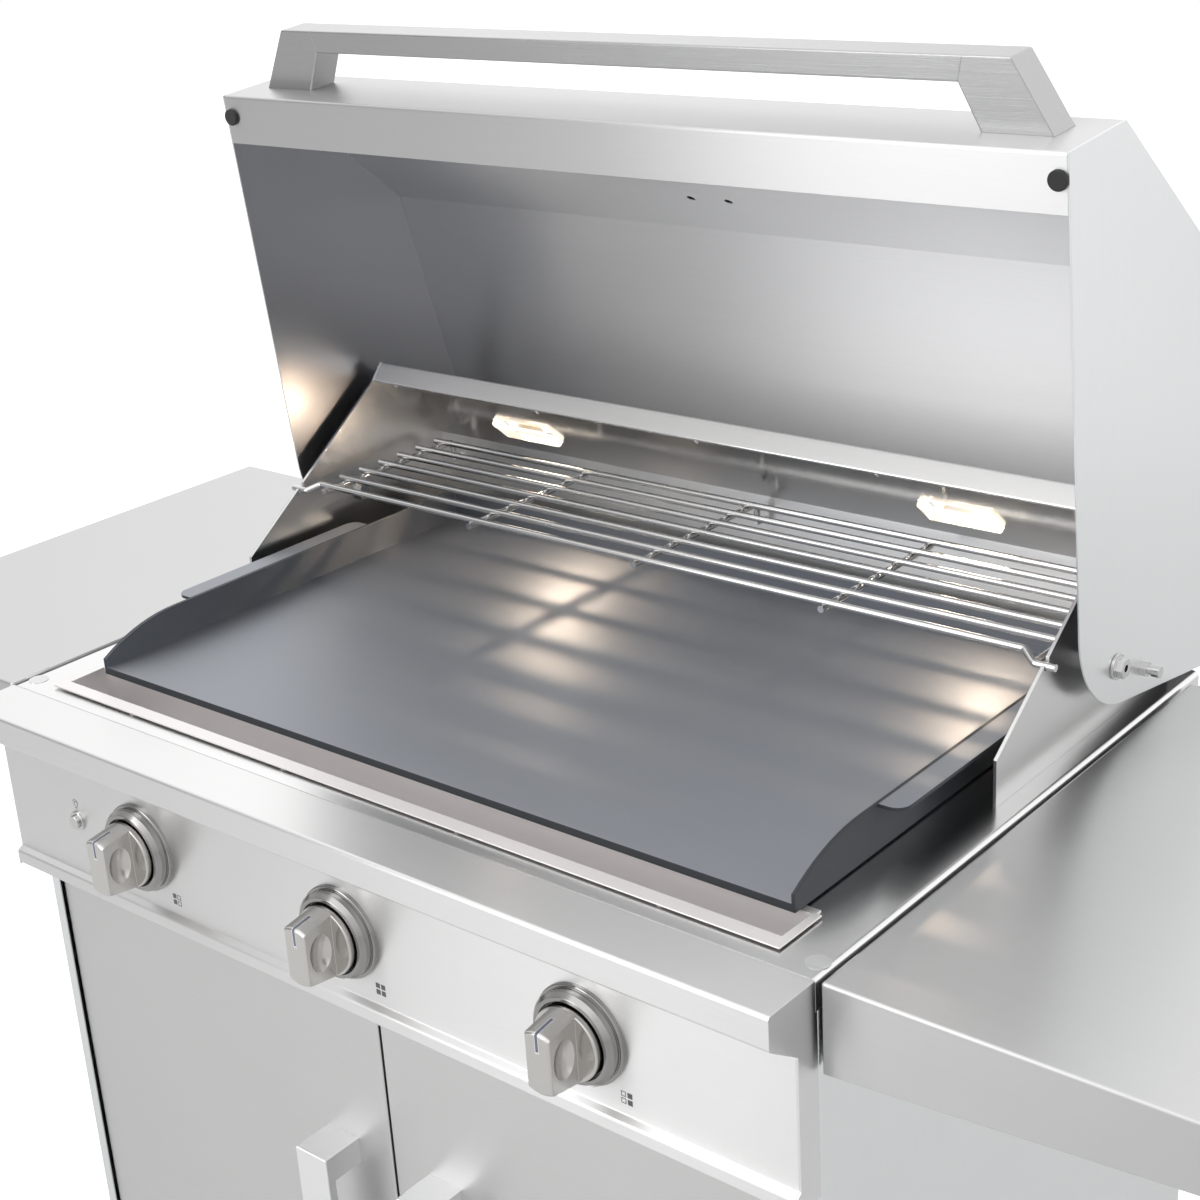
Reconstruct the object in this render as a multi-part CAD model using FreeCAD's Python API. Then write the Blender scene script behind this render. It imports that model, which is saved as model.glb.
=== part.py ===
"""Induction griddle on a cart, as an assembly of separate pieces.

Millimetres. +X is right, +Y is back, +Z is up, and the floor is at zero height.
Pieces are drawn with Y measured from the seam between deck and front nose.
The whole set then moves along Y so that the origin is at the bottom centre.
"""

import math
import os

import FreeCAD
import Part

Vec = FreeCAD.Vector

# Sheet stock and clearances
sheet = 1.5
thin_sheet = 1.2
bend = 1.5
seam = 0.4
loose = 0.3
running = 0.05

# Deck
deck_width = 914.0
deck_depth = 608.0
deck_height = 914.0
deck_thick = 2.0
deck_skirt = 25.0
deck_edge_radius = 3.0

# Front nose and control fascia
nose_depth = 55.4
nose_height = 27.2
nose_slope = 22.8
nose_flange = 12.0
fascia_setback = 22.2
fascia_height = 112.2
trim_slope = 4.0
trim_reach = 6.1
trim_height = 13.8
trim_return = 24.0
cap_reach = 1.7

# Knobs, seen from the front: a stepped bezel, a skirt and a grip bar
knob_pitch = 260.0
knob_drop = 105.0
bezel_radius = 42.5
bezel_flange = 4.0
bezel_step_radius = 39.8
bezel_step = 10.0
bezel_lip_radius = 36.0
bezel_depth = 14.0
bezel_bore_radius = 33.0
bezel_floor = 2.0
skirt_radius = 31.0
skirt_start = 3.8
skirt_end = 20.0
skirt_edge = 1.5
knob_reach = 50.0
grip_width = 24.0
grip_base_radius = 31.0
grip_front_radius = 26.5
grip_edge = 1.5
scoop_depth = 4.5
scoop_ring_radius = 17.5
scoop_wire_radius = 17.0
knob_shaft_radius = 3.0
encoder_size = 22.0
encoder_depth = 14.0
encoder_bush_radius = 5.5
encoder_bush_reach = 3.0
board_thick = 1.6
control_board_width = 640.0
control_board_height = 60.0

# Lamp push button
button_offset = 354.0
button_drop = 105.7
button_ring_radius = 9.6
button_ring_thick = 2.5
button_tube_radius = 8.0
button_radius = 6.5
button_proud = 3.5
button_travel = 3.0
button_length = 20.0
button_socket_wall = 2.0

# Grease tray
tray_side_margin = 11.0
tray_front = 30.6
tray_rear = 70.0
tray_depth = 40.0
tray_front_rim = 13.9
tray_side_rim = 7.4
tray_rear_rim = 8.0
tray_lift = 1.8
tray_play = 1.0
tray_foot_radius = 3.0
tray_foot_pitch = 204.0

# Griddle plate
plate_side_gap = 34.9
plate_front = 63.0
plate_rear_gap = 22.0
plate_thick = 7.0
plate_lift = 1.8
plate_wall = 3.0
plate_wall_height = 40.0
plate_tip_height = 15.2
plate_wall_run_length = 90.0
bulge_share_along = 0.4
bulge_share_up = 0.66
plate_lip_reach = 21.4
plate_lip_start = 174.0
plate_lip_length = 245.0
plate_lip_radius = 12.0
plate_foot_radius = 6.0
plate_foot_spread = 318.0

# Induction parts under the plate
hob_margin_x = 36.0
hob_front = 103.0
hob_margin_rear = 29.0
glass_lap = 11.0
glass_thick = 4.0
coil_radius = 92.0
coil_hole_radius = 20.0
coil_thick = 6.0
coil_gap = 0.8
carrier_thick = 3.0
carrier_rim = 8.0
leg_radius = 4.0

# Head pan with the electronics
pan_inset = 17.0
pan_front = 8.0
pan_rear_margin = 18.0
pan_depth = 150.0
power_board_width = 160.0
power_board_depth = 220.0
standoff_height = 8.0
standoff_radius = 4.0
heat_sink_width = 140.0
heat_sink_depth = 90.0
heat_sink_base = 6.0
heat_sink_fin = 3.0
heat_sink_height = 38.0
heat_sink_fins = 9
fan_size = 112.0
fan_depth = 34.0
fan_bore_radius = 52.0
fan_tip_gap = 2.0
fan_hub_radius = 18.0
fan_boss_radius = 9.0
fan_shaft_radius = 3.0
fan_plate = 4.0
fan_blades = 7
fan_blade_thick = 2.0
fan_blade_pitch = 35.0

# Firebox and light housing
firebox_inset = 21.5
firebox_thick = 3.0
firebox_depth = 293.0
firebox_front_height = 41.0
firebox_rear_margin = 30.0
firebox_tail = 12.0
housing_depth = 96.0
housing_front_height = 180.0
housing_lip = 22.7
housing_crease_height = 97.0
lamp_offset = 259.0
lamp_setback = 67.0
lamp_width = 76.0
lamp_height = 34.0
lens_lap = 3.0
lens_thick = 3.0
lens_proud = 6.5
lens_edge = 3.0
lens_wall = 3.5
bulb_radius = 4.5
bulb_length = 50.0
bulb_block = 8.0

# Warming rack
wire_radius = 3.2
rack_wires = 7
rack_setback = 206.0
rack_pitch = 28.8
rack_height = 98.7
rack_shift = 11.0
rack_end_gap = 11.5
rack_cross_inset = 7.0
rack_cross_reach = 4.5
rack_weld = 0.5
rack_dip_start = 21.5
rack_dip_run = 13.0
rack_dip_reach = 9.0
rack_dip_drop = 6.5
rack_arm = 8.0
rack_bend_radius = 6.0
rack_hook_setback = 20.0
rack_hook_drop = 16.0
notch_play = 0.3
peg_radius = 3.0
peg_reach = 4.0

# Hood, drawn shut and then swung open
hood_inset = 2.7
hood_side_thick = 1.5
hood_open_angle = 84.1
hinge_setback = 131.0
hinge_height = 65.0
hood_front_y = 1.7
hood_gap = 4.0
hood_front_height = 89.0
hood_fold_y = 146.0
hood_fold_height = 241.0
hood_rear_overhang = 103.5
hood_top_slope = 9.87
hood_foot_overhang = 19.5
hood_foot_radius = 95.0
hood_flange = 46.7
hood_rear_flange = 26.0
liner_front_y = 47.4
liner_front_height = 101.0
liner_fold_y = 164.0
liner_fold_height = 214.8
liner_end_gap = 9.0
liner_thick = 1.0
liner_hole_radius = 4.0
liner_hole_spread = 21.5
liner_hole_setback = 102.3
bumper_radius = 8.0
bumper_height = 3.4
bumper_inset = 8.5
bumper_setback = 20.6
pivot_radius = 5.0
pivot_collar_radius = 9.0
pivot_flange_radius = 11.0
pivot_flange_thick = 2.5
pivot_hex = 9.0
pivot_hex_thick = 6.5
pivot_socket_radius = 3.2
pivot_nut_thick = 6.0
stud_overhang = 25.0
stud_height = 111.7
stud_radius = 4.0
stud_tip_radius = 5.0
stud_tip_length = 7.0
stud_nut = 7.0
stud_nut_thick = 6.0
stud_outer = 17.0
stud_inner = 11.0
stop_thick = 3.0
stop_width = 14.0

# Hood handle
handle_reach = 57.0
handle_bar_thick = 20.5
handle_low = 34.5
handle_tall = 32.0
handle_inset = 28.8
handle_base_width = 61.5
handle_lean = 34.0
handle_post_width = 40.5
handle_mitre = 5.0
handle_edge = 1.5

# Cart cabinet
caster_height = 105.0
frame_height = 25.0
frame_width = 50.0
frame_wall = 2.0
cabinet_front = 2.5
cabinet_overhang = 23.0
cabinet_front_flange = 13.4
cabinet_rear_flange = 30.0
back_drop = 60.0
vent_width = 90.0
vent_height = 8.0
vent_pitch = 20.0
vent_rows = 5
vent_offset = 220.0
vent_drop = 130.0
rail_width = 30.0
rail_height = 24.0
rail_wall = 2.0
inlet_width = 110.0
inlet_height = 70.0
inlet_depth = 38.0
inlet_wall = 2.0
inlet_drop = 260.0
gland_radius = 13.0
gland_bore_radius = 8.0
gland_length = 14.0

# Doors
door_front = 6.3
door_thick = 17.0
door_side_gap = 1.5
door_middle_gap = 3.0
door_top_gap = 6.0
door_bottom_gap = 4.0
door_skin = 1.2
door_edge = 1.5
door_block = 18.0
hinge_pin_inset = 8.0
hinge_pin_back = 4.0
hinge_pin_radius = 3.0
hinge_pin_length = 10.0
hinge_leaf = 3.0
hinge_leaf_half = 7.0
door_handle_offset = 63.0
door_handle_width = 39.0
door_handle_bar = 9.0
door_handle_post = 32.5
door_handle_post_tall = 26.5
door_handle_drop = 161.3
door_handle_length = 300.0
door_handle_edge = 1.5

# Folding side shelves
shelf_gap = 4.2
shelf_width = 315.4
shelf_front = 0.0
shelf_depth = 580.0
shelf_apron = 73.5
shelf_outer_apron = 49.0
shelf_edge = 2.5
shelf_pivot_in = 20.0
shelf_pivot_up = 6.5
bracket_inset = 34.0
bracket_thick = 4.0
bracket_half = 6.5
bracket_wall_height = 45.0
bracket_wall_width = 30.0
bracket_wall_thick = 1.5
shelf_pin_radius = 3.5
slot_play = 1.2
slot_head = 4.8
gusset_thick = 3.0
gusset_width = 40.0

# Casters
wheel_radius = 37.5
wheel_width = 26.0
wheel_hub_radius = 24.0
wheel_groove = 4.0
wheel_edge = 3.0
axle_radius = 5.0
fork_trail = 24.0
fork_thick = 3.5
fork_play = 2.0
fork_head_radius = 26.0
fork_head_thick = 7.0
king_pin_radius = 6.0
king_pin_length = 2.5
caster_plate = 90.0
caster_plate_thick = 3.0
caster_inset = 52.0

# Places worked out from the sizes above
half = deck_width / 2
top = deck_height
inner_half = half - sheet
cabinet_rear = deck_depth + cabinet_overhang
frame_top = caster_height + frame_height
floor_top = frame_top + sheet
pan_half = half - pan_inset
pan_rear = deck_depth - pan_rear_margin
pan_bottom = top - pan_depth
pan_floor = pan_bottom + thin_sheet
fascia_front = -fascia_setback
fascia_back = fascia_front + sheet
nose_bottom = top - nose_height
fascia_top = nose_bottom - nose_slope
trim_top = fascia_top - fascia_height
trim_front = fascia_front - trim_reach
trim_bottom = trim_top - trim_slope - trim_height
door_top = trim_bottom - door_top_gap
door_bottom = floor_top + door_bottom_gap
firebox_back = deck_depth - firebox_rear_margin
firebox_front = firebox_back - firebox_depth
housing_front = firebox_back - housing_depth
rack_front = firebox_back - rack_setback
hinge_y = firebox_back - hinge_setback
hood_rear_y = hinge_y + hood_rear_overhang
hood_foot_y = hinge_y + hood_foot_overhang
stud_y = hinge_y + stud_overhang
plate_rear = firebox_back - plate_rear_gap
hob_rear = plate_rear - hob_margin_rear
firebox_half = half - firebox_inset
firebox_inner_half = firebox_half - firebox_thick
plate_half = firebox_inner_half - plate_side_gap
tray_opening_half = plate_half + tray_side_margin
hob_half = plate_half - hob_margin_x
glass_top = top - deck_thick
glass_bottom = glass_top - glass_thick
coil_top = glass_bottom - coil_gap
coil_bottom = coil_top - coil_thick
plate_bottom = top + plate_lift
plate_top = plate_bottom + plate_thick
hinge_z = top + hinge_height
hood_bottom = top + hood_gap
hood_half = half - hood_inset
hood_inner_half = hood_half - hood_side_thick
handle_base_outer = hood_half - handle_inset
handle_base_inner = handle_base_outer - handle_base_width
handle_top_half = handle_base_outer - handle_lean
handle_bar_half = handle_top_half - handle_post_width
rack_half = firebox_inner_half - rack_end_gap
rack_cross_pitch = (rack_half - rack_cross_inset) / 2
rack_z = top + rack_height
rack_cross_z = rack_z - 2 * wire_radius + rack_weld
rack_rear = rack_front + (rack_wires - 1) * rack_pitch
rack_hook_y = rack_rear + rack_hook_setback
dip_y = rack_front - rack_dip_reach
dip_z = rack_z - rack_dip_drop
shelf_inner = half + shelf_gap
shelf_outer = shelf_inner + shelf_width
shelf_top = top
shelf_bottom = shelf_top - shelf_apron
shelf_pivot_x = shelf_inner + shelf_pivot_in
shelf_pivot_z = shelf_bottom + shelf_pivot_up

parts = {}


# Drawing helpers

def box(x, y, z):
    """A block from three (low, high) pairs."""
    size = [high - low for low, high in (x, y, z)]
    return Part.makeBox(size[0], size[1], size[2], Vec(x[0], y[0], z[0]))


def rod(radius, start, end):
    """A round bar between two points."""
    along = Vec(*end) - Vec(*start)
    return Part.makeCylinder(radius, along.Length, Vec(*start), along)


def in_plane(plane, u, v):
    if plane == "yz":
        return Vec(0, u, v)
    if plane == "xz":
        return Vec(u, 0, v)
    return Vec(u, v, 0)


def corner(before, point, after):
    """Where a rounded corner starts, its middle and where it ends."""
    here = FreeCAD.Vector(point[0], point[1], 0)
    back = (FreeCAD.Vector(before[0], before[1], 0) - here).normalize()
    ahead = (FreeCAD.Vector(after[0], after[1], 0) - here).normalize()
    half_angle = back.getAngle(ahead) / 2
    reach = point[2] / math.tan(half_angle)
    middle_way = (back + ahead).normalize()
    centre = here + middle_way * (point[2] / math.sin(half_angle))
    return here + back * reach, centre - middle_way * point[2], here + ahead * reach


def outline(points, plane):
    """A closed face; a point with a third number has that corner radius."""
    count = len(points)
    edges = []
    stops = []
    for index, point in enumerate(points):
        if len(point) > 2:
            stops.append(corner(points[index - 1], point, points[(index + 1) % count]))
        else:
            stops.append((Vec(point[0], point[1], 0),))
    for index, stop in enumerate(stops):
        placed = [in_plane(plane, spot.x, spot.y) for spot in stop]
        if len(placed) == 3:
            edges.append(Part.Arc(*placed).toShape())
        following = stops[(index + 1) % count][0]
        ahead = in_plane(plane, following.x, following.y)
        if (ahead - placed[-1]).Length > 1e-6:
            edges.append(Part.LineSegment(placed[-1], ahead).toShape())
    return Part.Face(Part.Wire(edges))


def prism(points, plane, low, high):
    """An outline pushed along the axis square to its plane."""
    way = {"yz": Vec(1, 0, 0), "xz": Vec(0, 1, 0), "xy": Vec(0, 0, 1)}[plane]
    face = outline(points, plane)
    face.translate(way * low)
    return face.extrude(way * (high - low))


def folded(points, thick, radius):
    """The outline of a folded sheet whose thickness lies left of a line of points."""
    spots = [Vec(u, v, 0) for u, v in points]
    ways = [(b - a).normalize() for a, b in zip(spots, spots[1:])]
    sides = [Vec(-way.y, way.x, 0) for way in ways]
    first = [(spots[0].x, spots[0].y)]
    second = [spots[0] + sides[0] * thick]
    second = [(second[0].x, second[0].y)]
    for index in range(1, len(spots) - 1):
        before, after = sides[index - 1], sides[index]
        shift = (before + after) * (thick / (1 + before.dot(after)))
        left_turn = ways[index - 1].cross(ways[index]).z > 0
        outer, inner = radius + thick, radius
        near, far = (outer, inner) if left_turn else (inner, outer)
        first.append((spots[index].x, spots[index].y, near))
        moved = spots[index] + shift
        second.append((moved.x, moved.y, far))
    end = spots[-1] + sides[-1] * thick
    first.append((spots[-1].x, spots[-1].y))
    second.append((end.x, end.y))
    return first + second[::-1]


def turned(points, axis_point, axis):
    """A solid turned about an axis from points of (radius, distance along it)."""
    face = outline(points, "xy")
    solid = face.revolve(Vec(0, 0, 0), Vec(0, 1, 0), 360)
    turn = FreeCAD.Rotation(Vec(0, 1, 0), Vec(*axis))
    solid.Placement = FreeCAD.Placement(Vec(*axis_point), turn)
    return solid


def bent_rod(radius, line, place):
    """A round bar along flat points, rounded where a point has a third number."""
    stops = [Vec(line[0][0], line[0][1], 0)]
    edges = []
    for before, point, after in zip(line, line[1:], line[2:]):
        begin, middle, end = corner(before, point, after)
        edges.append(Part.LineSegment(place(stops[-1]), place(begin)).toShape())
        edges.append(Part.Arc(place(begin), place(middle), place(end)).toShape())
        stops.append(end)
    last = Vec(line[-1][0], line[-1][1], 0)
    edges.append(Part.LineSegment(place(stops[-1]), place(last)).toShape())
    first = place(stops[0])
    way = edges[0].Vertexes[1].Point - edges[0].Vertexes[0].Point
    section = Part.Wire([Part.Circle(first, way, radius).toShape()])
    return Part.Wire(edges).makePipeShell([section], True, False)


def hexagon(across_corners, centre, axis_from, axis_to, plane):
    points = []
    for step in range(6):
        angle = math.radians(60 * step)
        u = centre[0] + across_corners * math.cos(angle)
        v = centre[1] + across_corners * math.sin(angle)
        points.append((u, v))
    return prism(points, plane, min(axis_from, axis_to), max(axis_from, axis_to))


def mirrored(shape):
    return shape.mirror(Vec(0, 0, 0), Vec(1, 0, 0))


def joined(shapes):
    """Welded pieces as one solid."""
    return shapes[0].fuse(shapes[1:]).removeSplitter()


def soften(solid, radius, wanted):
    """Rounds the edges that a test picks out."""
    return solid.makeFillet(radius, [edge for edge in solid.Edges if wanted(edge)])


def runs_along(axis):
    """A test for straight edges along one axis."""
    def test(edge):
        if len(edge.Vertexes) != 2:
            return False
        way = edge.Vertexes[1].Point - edge.Vertexes[0].Point
        return abs(abs(getattr(way, axis)) - way.Length) < running
    return test


def keep(name, *solids):
    parts[name] = solids[0] if len(solids) == 1 else Part.makeCompound(list(solids))


# Cart cabinet

def cabinet():
    line = [
        (half - cabinet_front_flange, cabinet_front),
        (half, cabinet_front),
        (half, cabinet_rear),
        (half - cabinet_rear_flange, cabinet_rear),
    ]
    right = prism(folded(line, sheet, bend), "xy", caster_height, top - deck_skirt)
    keep("cabinet_right_side", right)
    keep("cabinet_left_side", mirrored(right))

    inside_y = (cabinet_front + sheet, cabinet_rear - sheet)
    floor = box((-inner_half, inner_half), inside_y, (frame_top, floor_top))
    keep("cabinet_floor", soften(floor, bend, runs_along("z")))

    back_y = (cabinet_rear - 2 * sheet, cabinet_rear - sheet)
    back_half = inner_half - bend
    back = box((-back_half, back_half), back_y, (floor_top, top - back_drop))
    slots = []
    for side in (-1, 1):
        for row in range(vent_rows):
            middle = side * vent_offset
            low = top - vent_drop - row * vent_pitch
            across = (middle - vent_width / 2, middle + vent_width / 2)
            slots.append(box(across, (back_y[0] - sheet, back_y[1] + sheet), (low, low + vent_height)))
    keep("cabinet_back", back.cut(slots))

    ring = box((-inner_half, inner_half), inside_y, (caster_height, frame_top))
    ring = soften(ring, bend, runs_along("z"))
    gap_x = inner_half - frame_width
    gap_y = (inside_y[0] + frame_width, inside_y[1] - frame_width)
    gap = box((-gap_x, gap_x), gap_y, (caster_height, frame_top))
    channel_x = inner_half - frame_wall
    channel_y = (inside_y[0] + frame_wall, inside_y[1] - frame_wall)
    channel = box((-channel_x, channel_x), channel_y, (caster_height + frame_wall, frame_top - frame_wall))
    keep("base_frame", ring.cut([gap, channel]))

    rail_z = (pan_bottom - rail_height, pan_bottom)
    under_z = (rail_z[0], pan_bottom - rail_wall)
    rail_in = inner_half - rail_width
    across = (-rail_in, rail_in)
    long_y = (inside_y[0], back_y[0])
    front_y = (long_y[0], long_y[0] + rail_width)
    rear_y = (long_y[1] - rail_width, long_y[1])
    side_rail = soften(box((rail_in, inner_half), long_y, rail_z), bend, runs_along("z"))
    side_rail = side_rail.cut(box((rail_in, inner_half - rail_wall), long_y, under_z))
    front_rail = box(across, front_y, rail_z).cut(box(across, (front_y[0] + rail_wall, front_y[1]), under_z))
    rear_rail = box(across, rear_y, rail_z).cut(box(across, (rear_y[0], rear_y[1] - rail_wall), under_z))
    keep("cabinet_rails", side_rail, mirrored(side_rail), front_rail, rear_rail)

    power_inlet(back_y[1])


def power_inlet(back_face):
    low = top - inlet_drop
    across = (-inlet_width / 2, inlet_width / 2)
    case = box(across, (back_face, back_face + inlet_depth), (low, low + inlet_height))
    hollow_x = (across[0] + inlet_wall, across[1] - inlet_wall)
    hollow_y = (back_face, back_face + inlet_depth - inlet_wall)
    case = case.cut(box(hollow_x, hollow_y, (low + inlet_wall, low + inlet_height - inlet_wall)))
    middle_y = back_face + inlet_depth / 2
    gland = rod(gland_radius, (0, middle_y, low - gland_length), (0, middle_y, low + inlet_wall))
    way = rod(gland_bore_radius, (0, middle_y, low - gland_length), (0, middle_y, low + inlet_wall))
    keep("power_inlet", joined([case, gland]).cut(way))


# Griddle head: deck, nose, fascia, tray, pan

def deck():
    line = [(half, top - deck_skirt), (half, top), (-half, top), (-half, top - deck_skirt)]
    top_sheet = prism(folded(line, deck_thick, deck_edge_radius), "xz", 0, deck_depth)
    through = (top - deck_skirt, top + deck_skirt)
    slot_half = tray_opening_half + thin_sheet + tray_play
    slot_y = (tray_front - thin_sheet - tray_play, tray_rear + thin_sheet + tray_play)
    slot = box((-slot_half, slot_half), slot_y, through)
    hob = box((-hob_half, hob_half), (hob_front, hob_rear), through)
    keep("deck", top_sheet.cut([slot, hob]))


def front_nose():
    line = [
        (-seam, top),
        (-nose_depth, top),
        (-nose_depth, nose_bottom),
        (fascia_back, fascia_top),
        (fascia_back, fascia_top - nose_flange),
    ]
    ledge = prism(folded(line, sheet, bend), "yz", -inner_half, inner_half)
    under_deck = top - deck_skirt - seam
    round_corner = bend + sheet
    side = [
        (-seam, top),
        (-nose_depth, top, round_corner),
        (-nose_depth, nose_bottom, round_corner),
        (fascia_front, fascia_top),
        (fascia_front, trim_top),
        (trim_front, trim_top - trim_slope),
        (trim_front, trim_bottom),
        (cap_reach, trim_bottom),
        (cap_reach, under_deck),
        (-seam, under_deck),
    ]
    cap = prism(side, "yz", inner_half, half)
    keep("front_nose", joined([ledge, cap, mirrored(cap)]))


def fascia():
    line = [
        (fascia_front, fascia_top - bend),
        (fascia_front, trim_top),
        (trim_front, trim_top - trim_slope),
        (trim_front, trim_bottom),
        (trim_front + trim_return, trim_bottom),
    ]
    panel = prism(folded(line, sheet, bend), "yz", -inner_half, inner_half)
    holes = []
    for x in (-knob_pitch, 0, knob_pitch):
        z = top - knob_drop
        holes.append(rod(encoder_bush_radius + loose, (x, fascia_front, z), (x, fascia_back, z)))
    z = top - button_drop
    holes.append(rod(button_tube_radius, (-button_offset, fascia_front, z), (-button_offset, fascia_back, z)))
    keep("fascia", panel.cut(holes))


def grease_tray():
    outer_half = tray_opening_half + thin_sheet
    rim_low = top + tray_lift
    rim_high = rim_low + thin_sheet
    floor_low = top - tray_depth
    body = box((-outer_half, outer_half), (tray_front - thin_sheet, tray_rear), (floor_low, rim_high))
    hollow = box(
        (-tray_opening_half, tray_opening_half), (tray_front, tray_rear), (floor_low + thin_sheet, rim_high)
    )
    rear_y = (tray_rear, tray_rear + thin_sheet)
    rear_wall = box((-outer_half, outer_half), rear_y, (floor_low, top + thin_sheet))
    rear_rim_y = (tray_rear, tray_rear + tray_rear_rim)
    rear_rim = box((-outer_half, outer_half), rear_rim_y, (top, top + thin_sheet))
    rim_half = tray_opening_half + tray_side_rim
    rim_front = tray_front - tray_front_rim
    front_rim = box((-rim_half, rim_half), (rim_front, tray_front), (rim_low, rim_high))
    side_rim = box((tray_opening_half, rim_half), (tray_front, tray_rear), (rim_low, rim_high))
    foot_y = rim_front + 2 * tray_foot_radius
    feet = []
    for step in (-3, -1, 1, 3):
        x = step * tray_foot_pitch / 2
        feet.append(rod(tray_foot_radius, (x, foot_y, top), (x, foot_y, rim_low)))
    keep(
        "grease_tray",
        joined([body.cut(hollow), rear_wall, rear_rim, front_rim, side_rim, mirrored(side_rim)] + feet),
    )


def head_pan():
    shell = box((-pan_half, pan_half), (pan_front, pan_rear), (pan_bottom, glass_top))
    hollow = box(
        (thin_sheet - pan_half, pan_half - thin_sheet),
        (pan_front + thin_sheet, pan_rear - thin_sheet),
        (pan_floor, glass_top),
    )
    fan_z = pan_floor + fan_size / 2
    outlet = rod(fan_bore_radius, (0, pan_rear - thin_sheet, fan_z), (0, pan_rear, fan_z))
    keep("head_pan", shell.cut([hollow, outlet]))


# Griddle plate with its walls and grip lips

def griddle_plate():
    slab = box((-plate_half, plate_half), (plate_front, plate_rear), (plate_bottom, plate_top))
    wall_top = plate_bottom + plate_wall_height
    tip = (plate_front, plate_bottom + plate_tip_height)
    crest = (plate_front + plate_wall_run_length, wall_top)
    rise = crest[1] - tip[1]
    bulge = (plate_front + plate_wall_run_length * bulge_share_along, tip[1] + rise * bulge_share_up)
    low = (plate_front, plate_bottom)
    tail = (plate_rear, wall_top)
    heel = (plate_rear, plate_bottom)
    spots = {name: in_plane("yz", *spot) for name, spot in
             (("low", low), ("tip", tip), ("bulge", bulge), ("crest", crest), ("tail", tail), ("heel", heel))}
    edges = [
        Part.LineSegment(spots["low"], spots["tip"]).toShape(),
        Part.Arc(spots["tip"], spots["bulge"], spots["crest"]).toShape(),
        Part.LineSegment(spots["crest"], spots["tail"]).toShape(),
        Part.LineSegment(spots["tail"], spots["heel"]).toShape(),
        Part.LineSegment(spots["heel"], spots["low"]).toShape(),
    ]
    face = Part.Face(Part.Wire(edges))
    face.translate(Vec(plate_half - plate_wall, 0, 0))
    wall = face.extrude(Vec(plate_wall, 0, 0))
    rear_wall_y = (plate_rear - plate_wall, plate_rear)
    rear_wall = box((-plate_half, plate_half), rear_wall_y, (plate_bottom, wall_top))
    lip_out = plate_half + plate_lip_reach
    lip_end = plate_lip_start + plate_lip_length
    lip_line = [
        (plate_half - plate_wall, plate_lip_start),
        (lip_out, plate_lip_start, plate_lip_radius),
        (lip_out, lip_end, plate_lip_radius),
        (plate_half - plate_wall, lip_end),
    ]
    lip = prism(lip_line, "xy", wall_top - plate_wall, wall_top)
    feet = []
    front_ledge = (tray_rear + tray_rear_rim + hob_front) / 2
    rear_ledge = (hob_rear + plate_rear) / 2
    for y in (front_ledge, rear_ledge):
        for x in (-plate_foot_spread, 0, plate_foot_spread):
            feet.append(rod(plate_foot_radius, (x, y, top), (x, y, plate_bottom)))
    keep("griddle_plate", joined([slab, wall, mirrored(wall), rear_wall, lip, mirrored(lip)] + feet))


# Induction parts inside the head

def coil_places():
    side = hob_half / 2
    middle = (hob_front + hob_rear) / 2
    step = (hob_rear - hob_front) / 4
    return [(x, y) for x in (-side, side) for y in (middle - step, middle + step)]


def induction():
    glass_half = hob_half + glass_lap
    glass_y = (hob_front - glass_lap, hob_rear + glass_lap)
    glass = box((-glass_half, glass_half), glass_y, (glass_bottom, glass_top))
    keep("hob_glass", soften(glass, glass_thick / 4, runs_along("z")))

    coils = []
    carriers = []
    carrier_low = coil_bottom - carrier_thick
    reach = coil_radius + carrier_rim
    for x, y in coil_places():
        ring = rod(coil_radius, (x, y, coil_bottom), (x, y, coil_top))
        coils.append(ring.cut(rod(coil_hole_radius, (x, y, coil_bottom), (x, y, coil_top))))
        legs = []
        for dx in (-1, 1):
            for dy in (-1, 1):
                leg_x = x + dx * (reach - 2 * leg_radius)
                leg_y = y + dy * (reach - 2 * leg_radius)
                legs.append(rod(leg_radius, (leg_x, leg_y, pan_floor), (leg_x, leg_y, coil_bottom)))
        plate = box((x - reach, x + reach), (y - reach, y + reach), (carrier_low, coil_bottom))
        carriers.append(joined([plate] + legs))
    keep("induction_coils", *coils)
    keep("coil_carriers", *carriers)

    boards = []
    sinks = []
    board_low = pan_floor + standoff_height
    for x, y in ((-hob_half / 2, (hob_front + hob_rear) / 2), (hob_half / 2, (hob_front + hob_rear) / 2)):
        across = (x - power_board_width / 2, x + power_board_width / 2)
        along = (y - power_board_depth / 2, y + power_board_depth / 2)
        board = box(across, along, (board_low, board_low + board_thick))
        posts = []
        for dx in (-1, 1):
            for dy in (-1, 1):
                post_x = x + dx * (power_board_width / 2 - 3 * standoff_radius)
                post_y = y + dy * (power_board_depth / 2 - 2 * standoff_radius)
                posts.append(rod(standoff_radius, (post_x, post_y, pan_floor), (post_x, post_y, board_low)))
        boards.append(joined([board] + posts))
        sinks.append(heat_sink(x, y, board_low + board_thick))
    boards.append(control_board())
    keep("circuit_boards", *boards)
    keep("heat_sinks", *sinks)


def heat_sink(x, y, low):
    along = (y - heat_sink_depth / 2, y + heat_sink_depth / 2)
    pieces = [box((x - heat_sink_width / 2, x + heat_sink_width / 2), along, (low, low + heat_sink_base))]
    step = (heat_sink_width - heat_sink_fin) / (heat_sink_fins - 1)
    for index in range(heat_sink_fins):
        start = x - heat_sink_width / 2 + index * step
        pieces.append(box((start, start + heat_sink_fin), along, (low, low + heat_sink_height)))
    return joined(pieces)


def control_board():
    y = fascia_back + encoder_depth
    z = top - knob_drop
    across = (-control_board_width / 2, control_board_width / 2)
    return box(across, (y, y + board_thick), (z - control_board_height / 2, z + control_board_height / 2))


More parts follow.
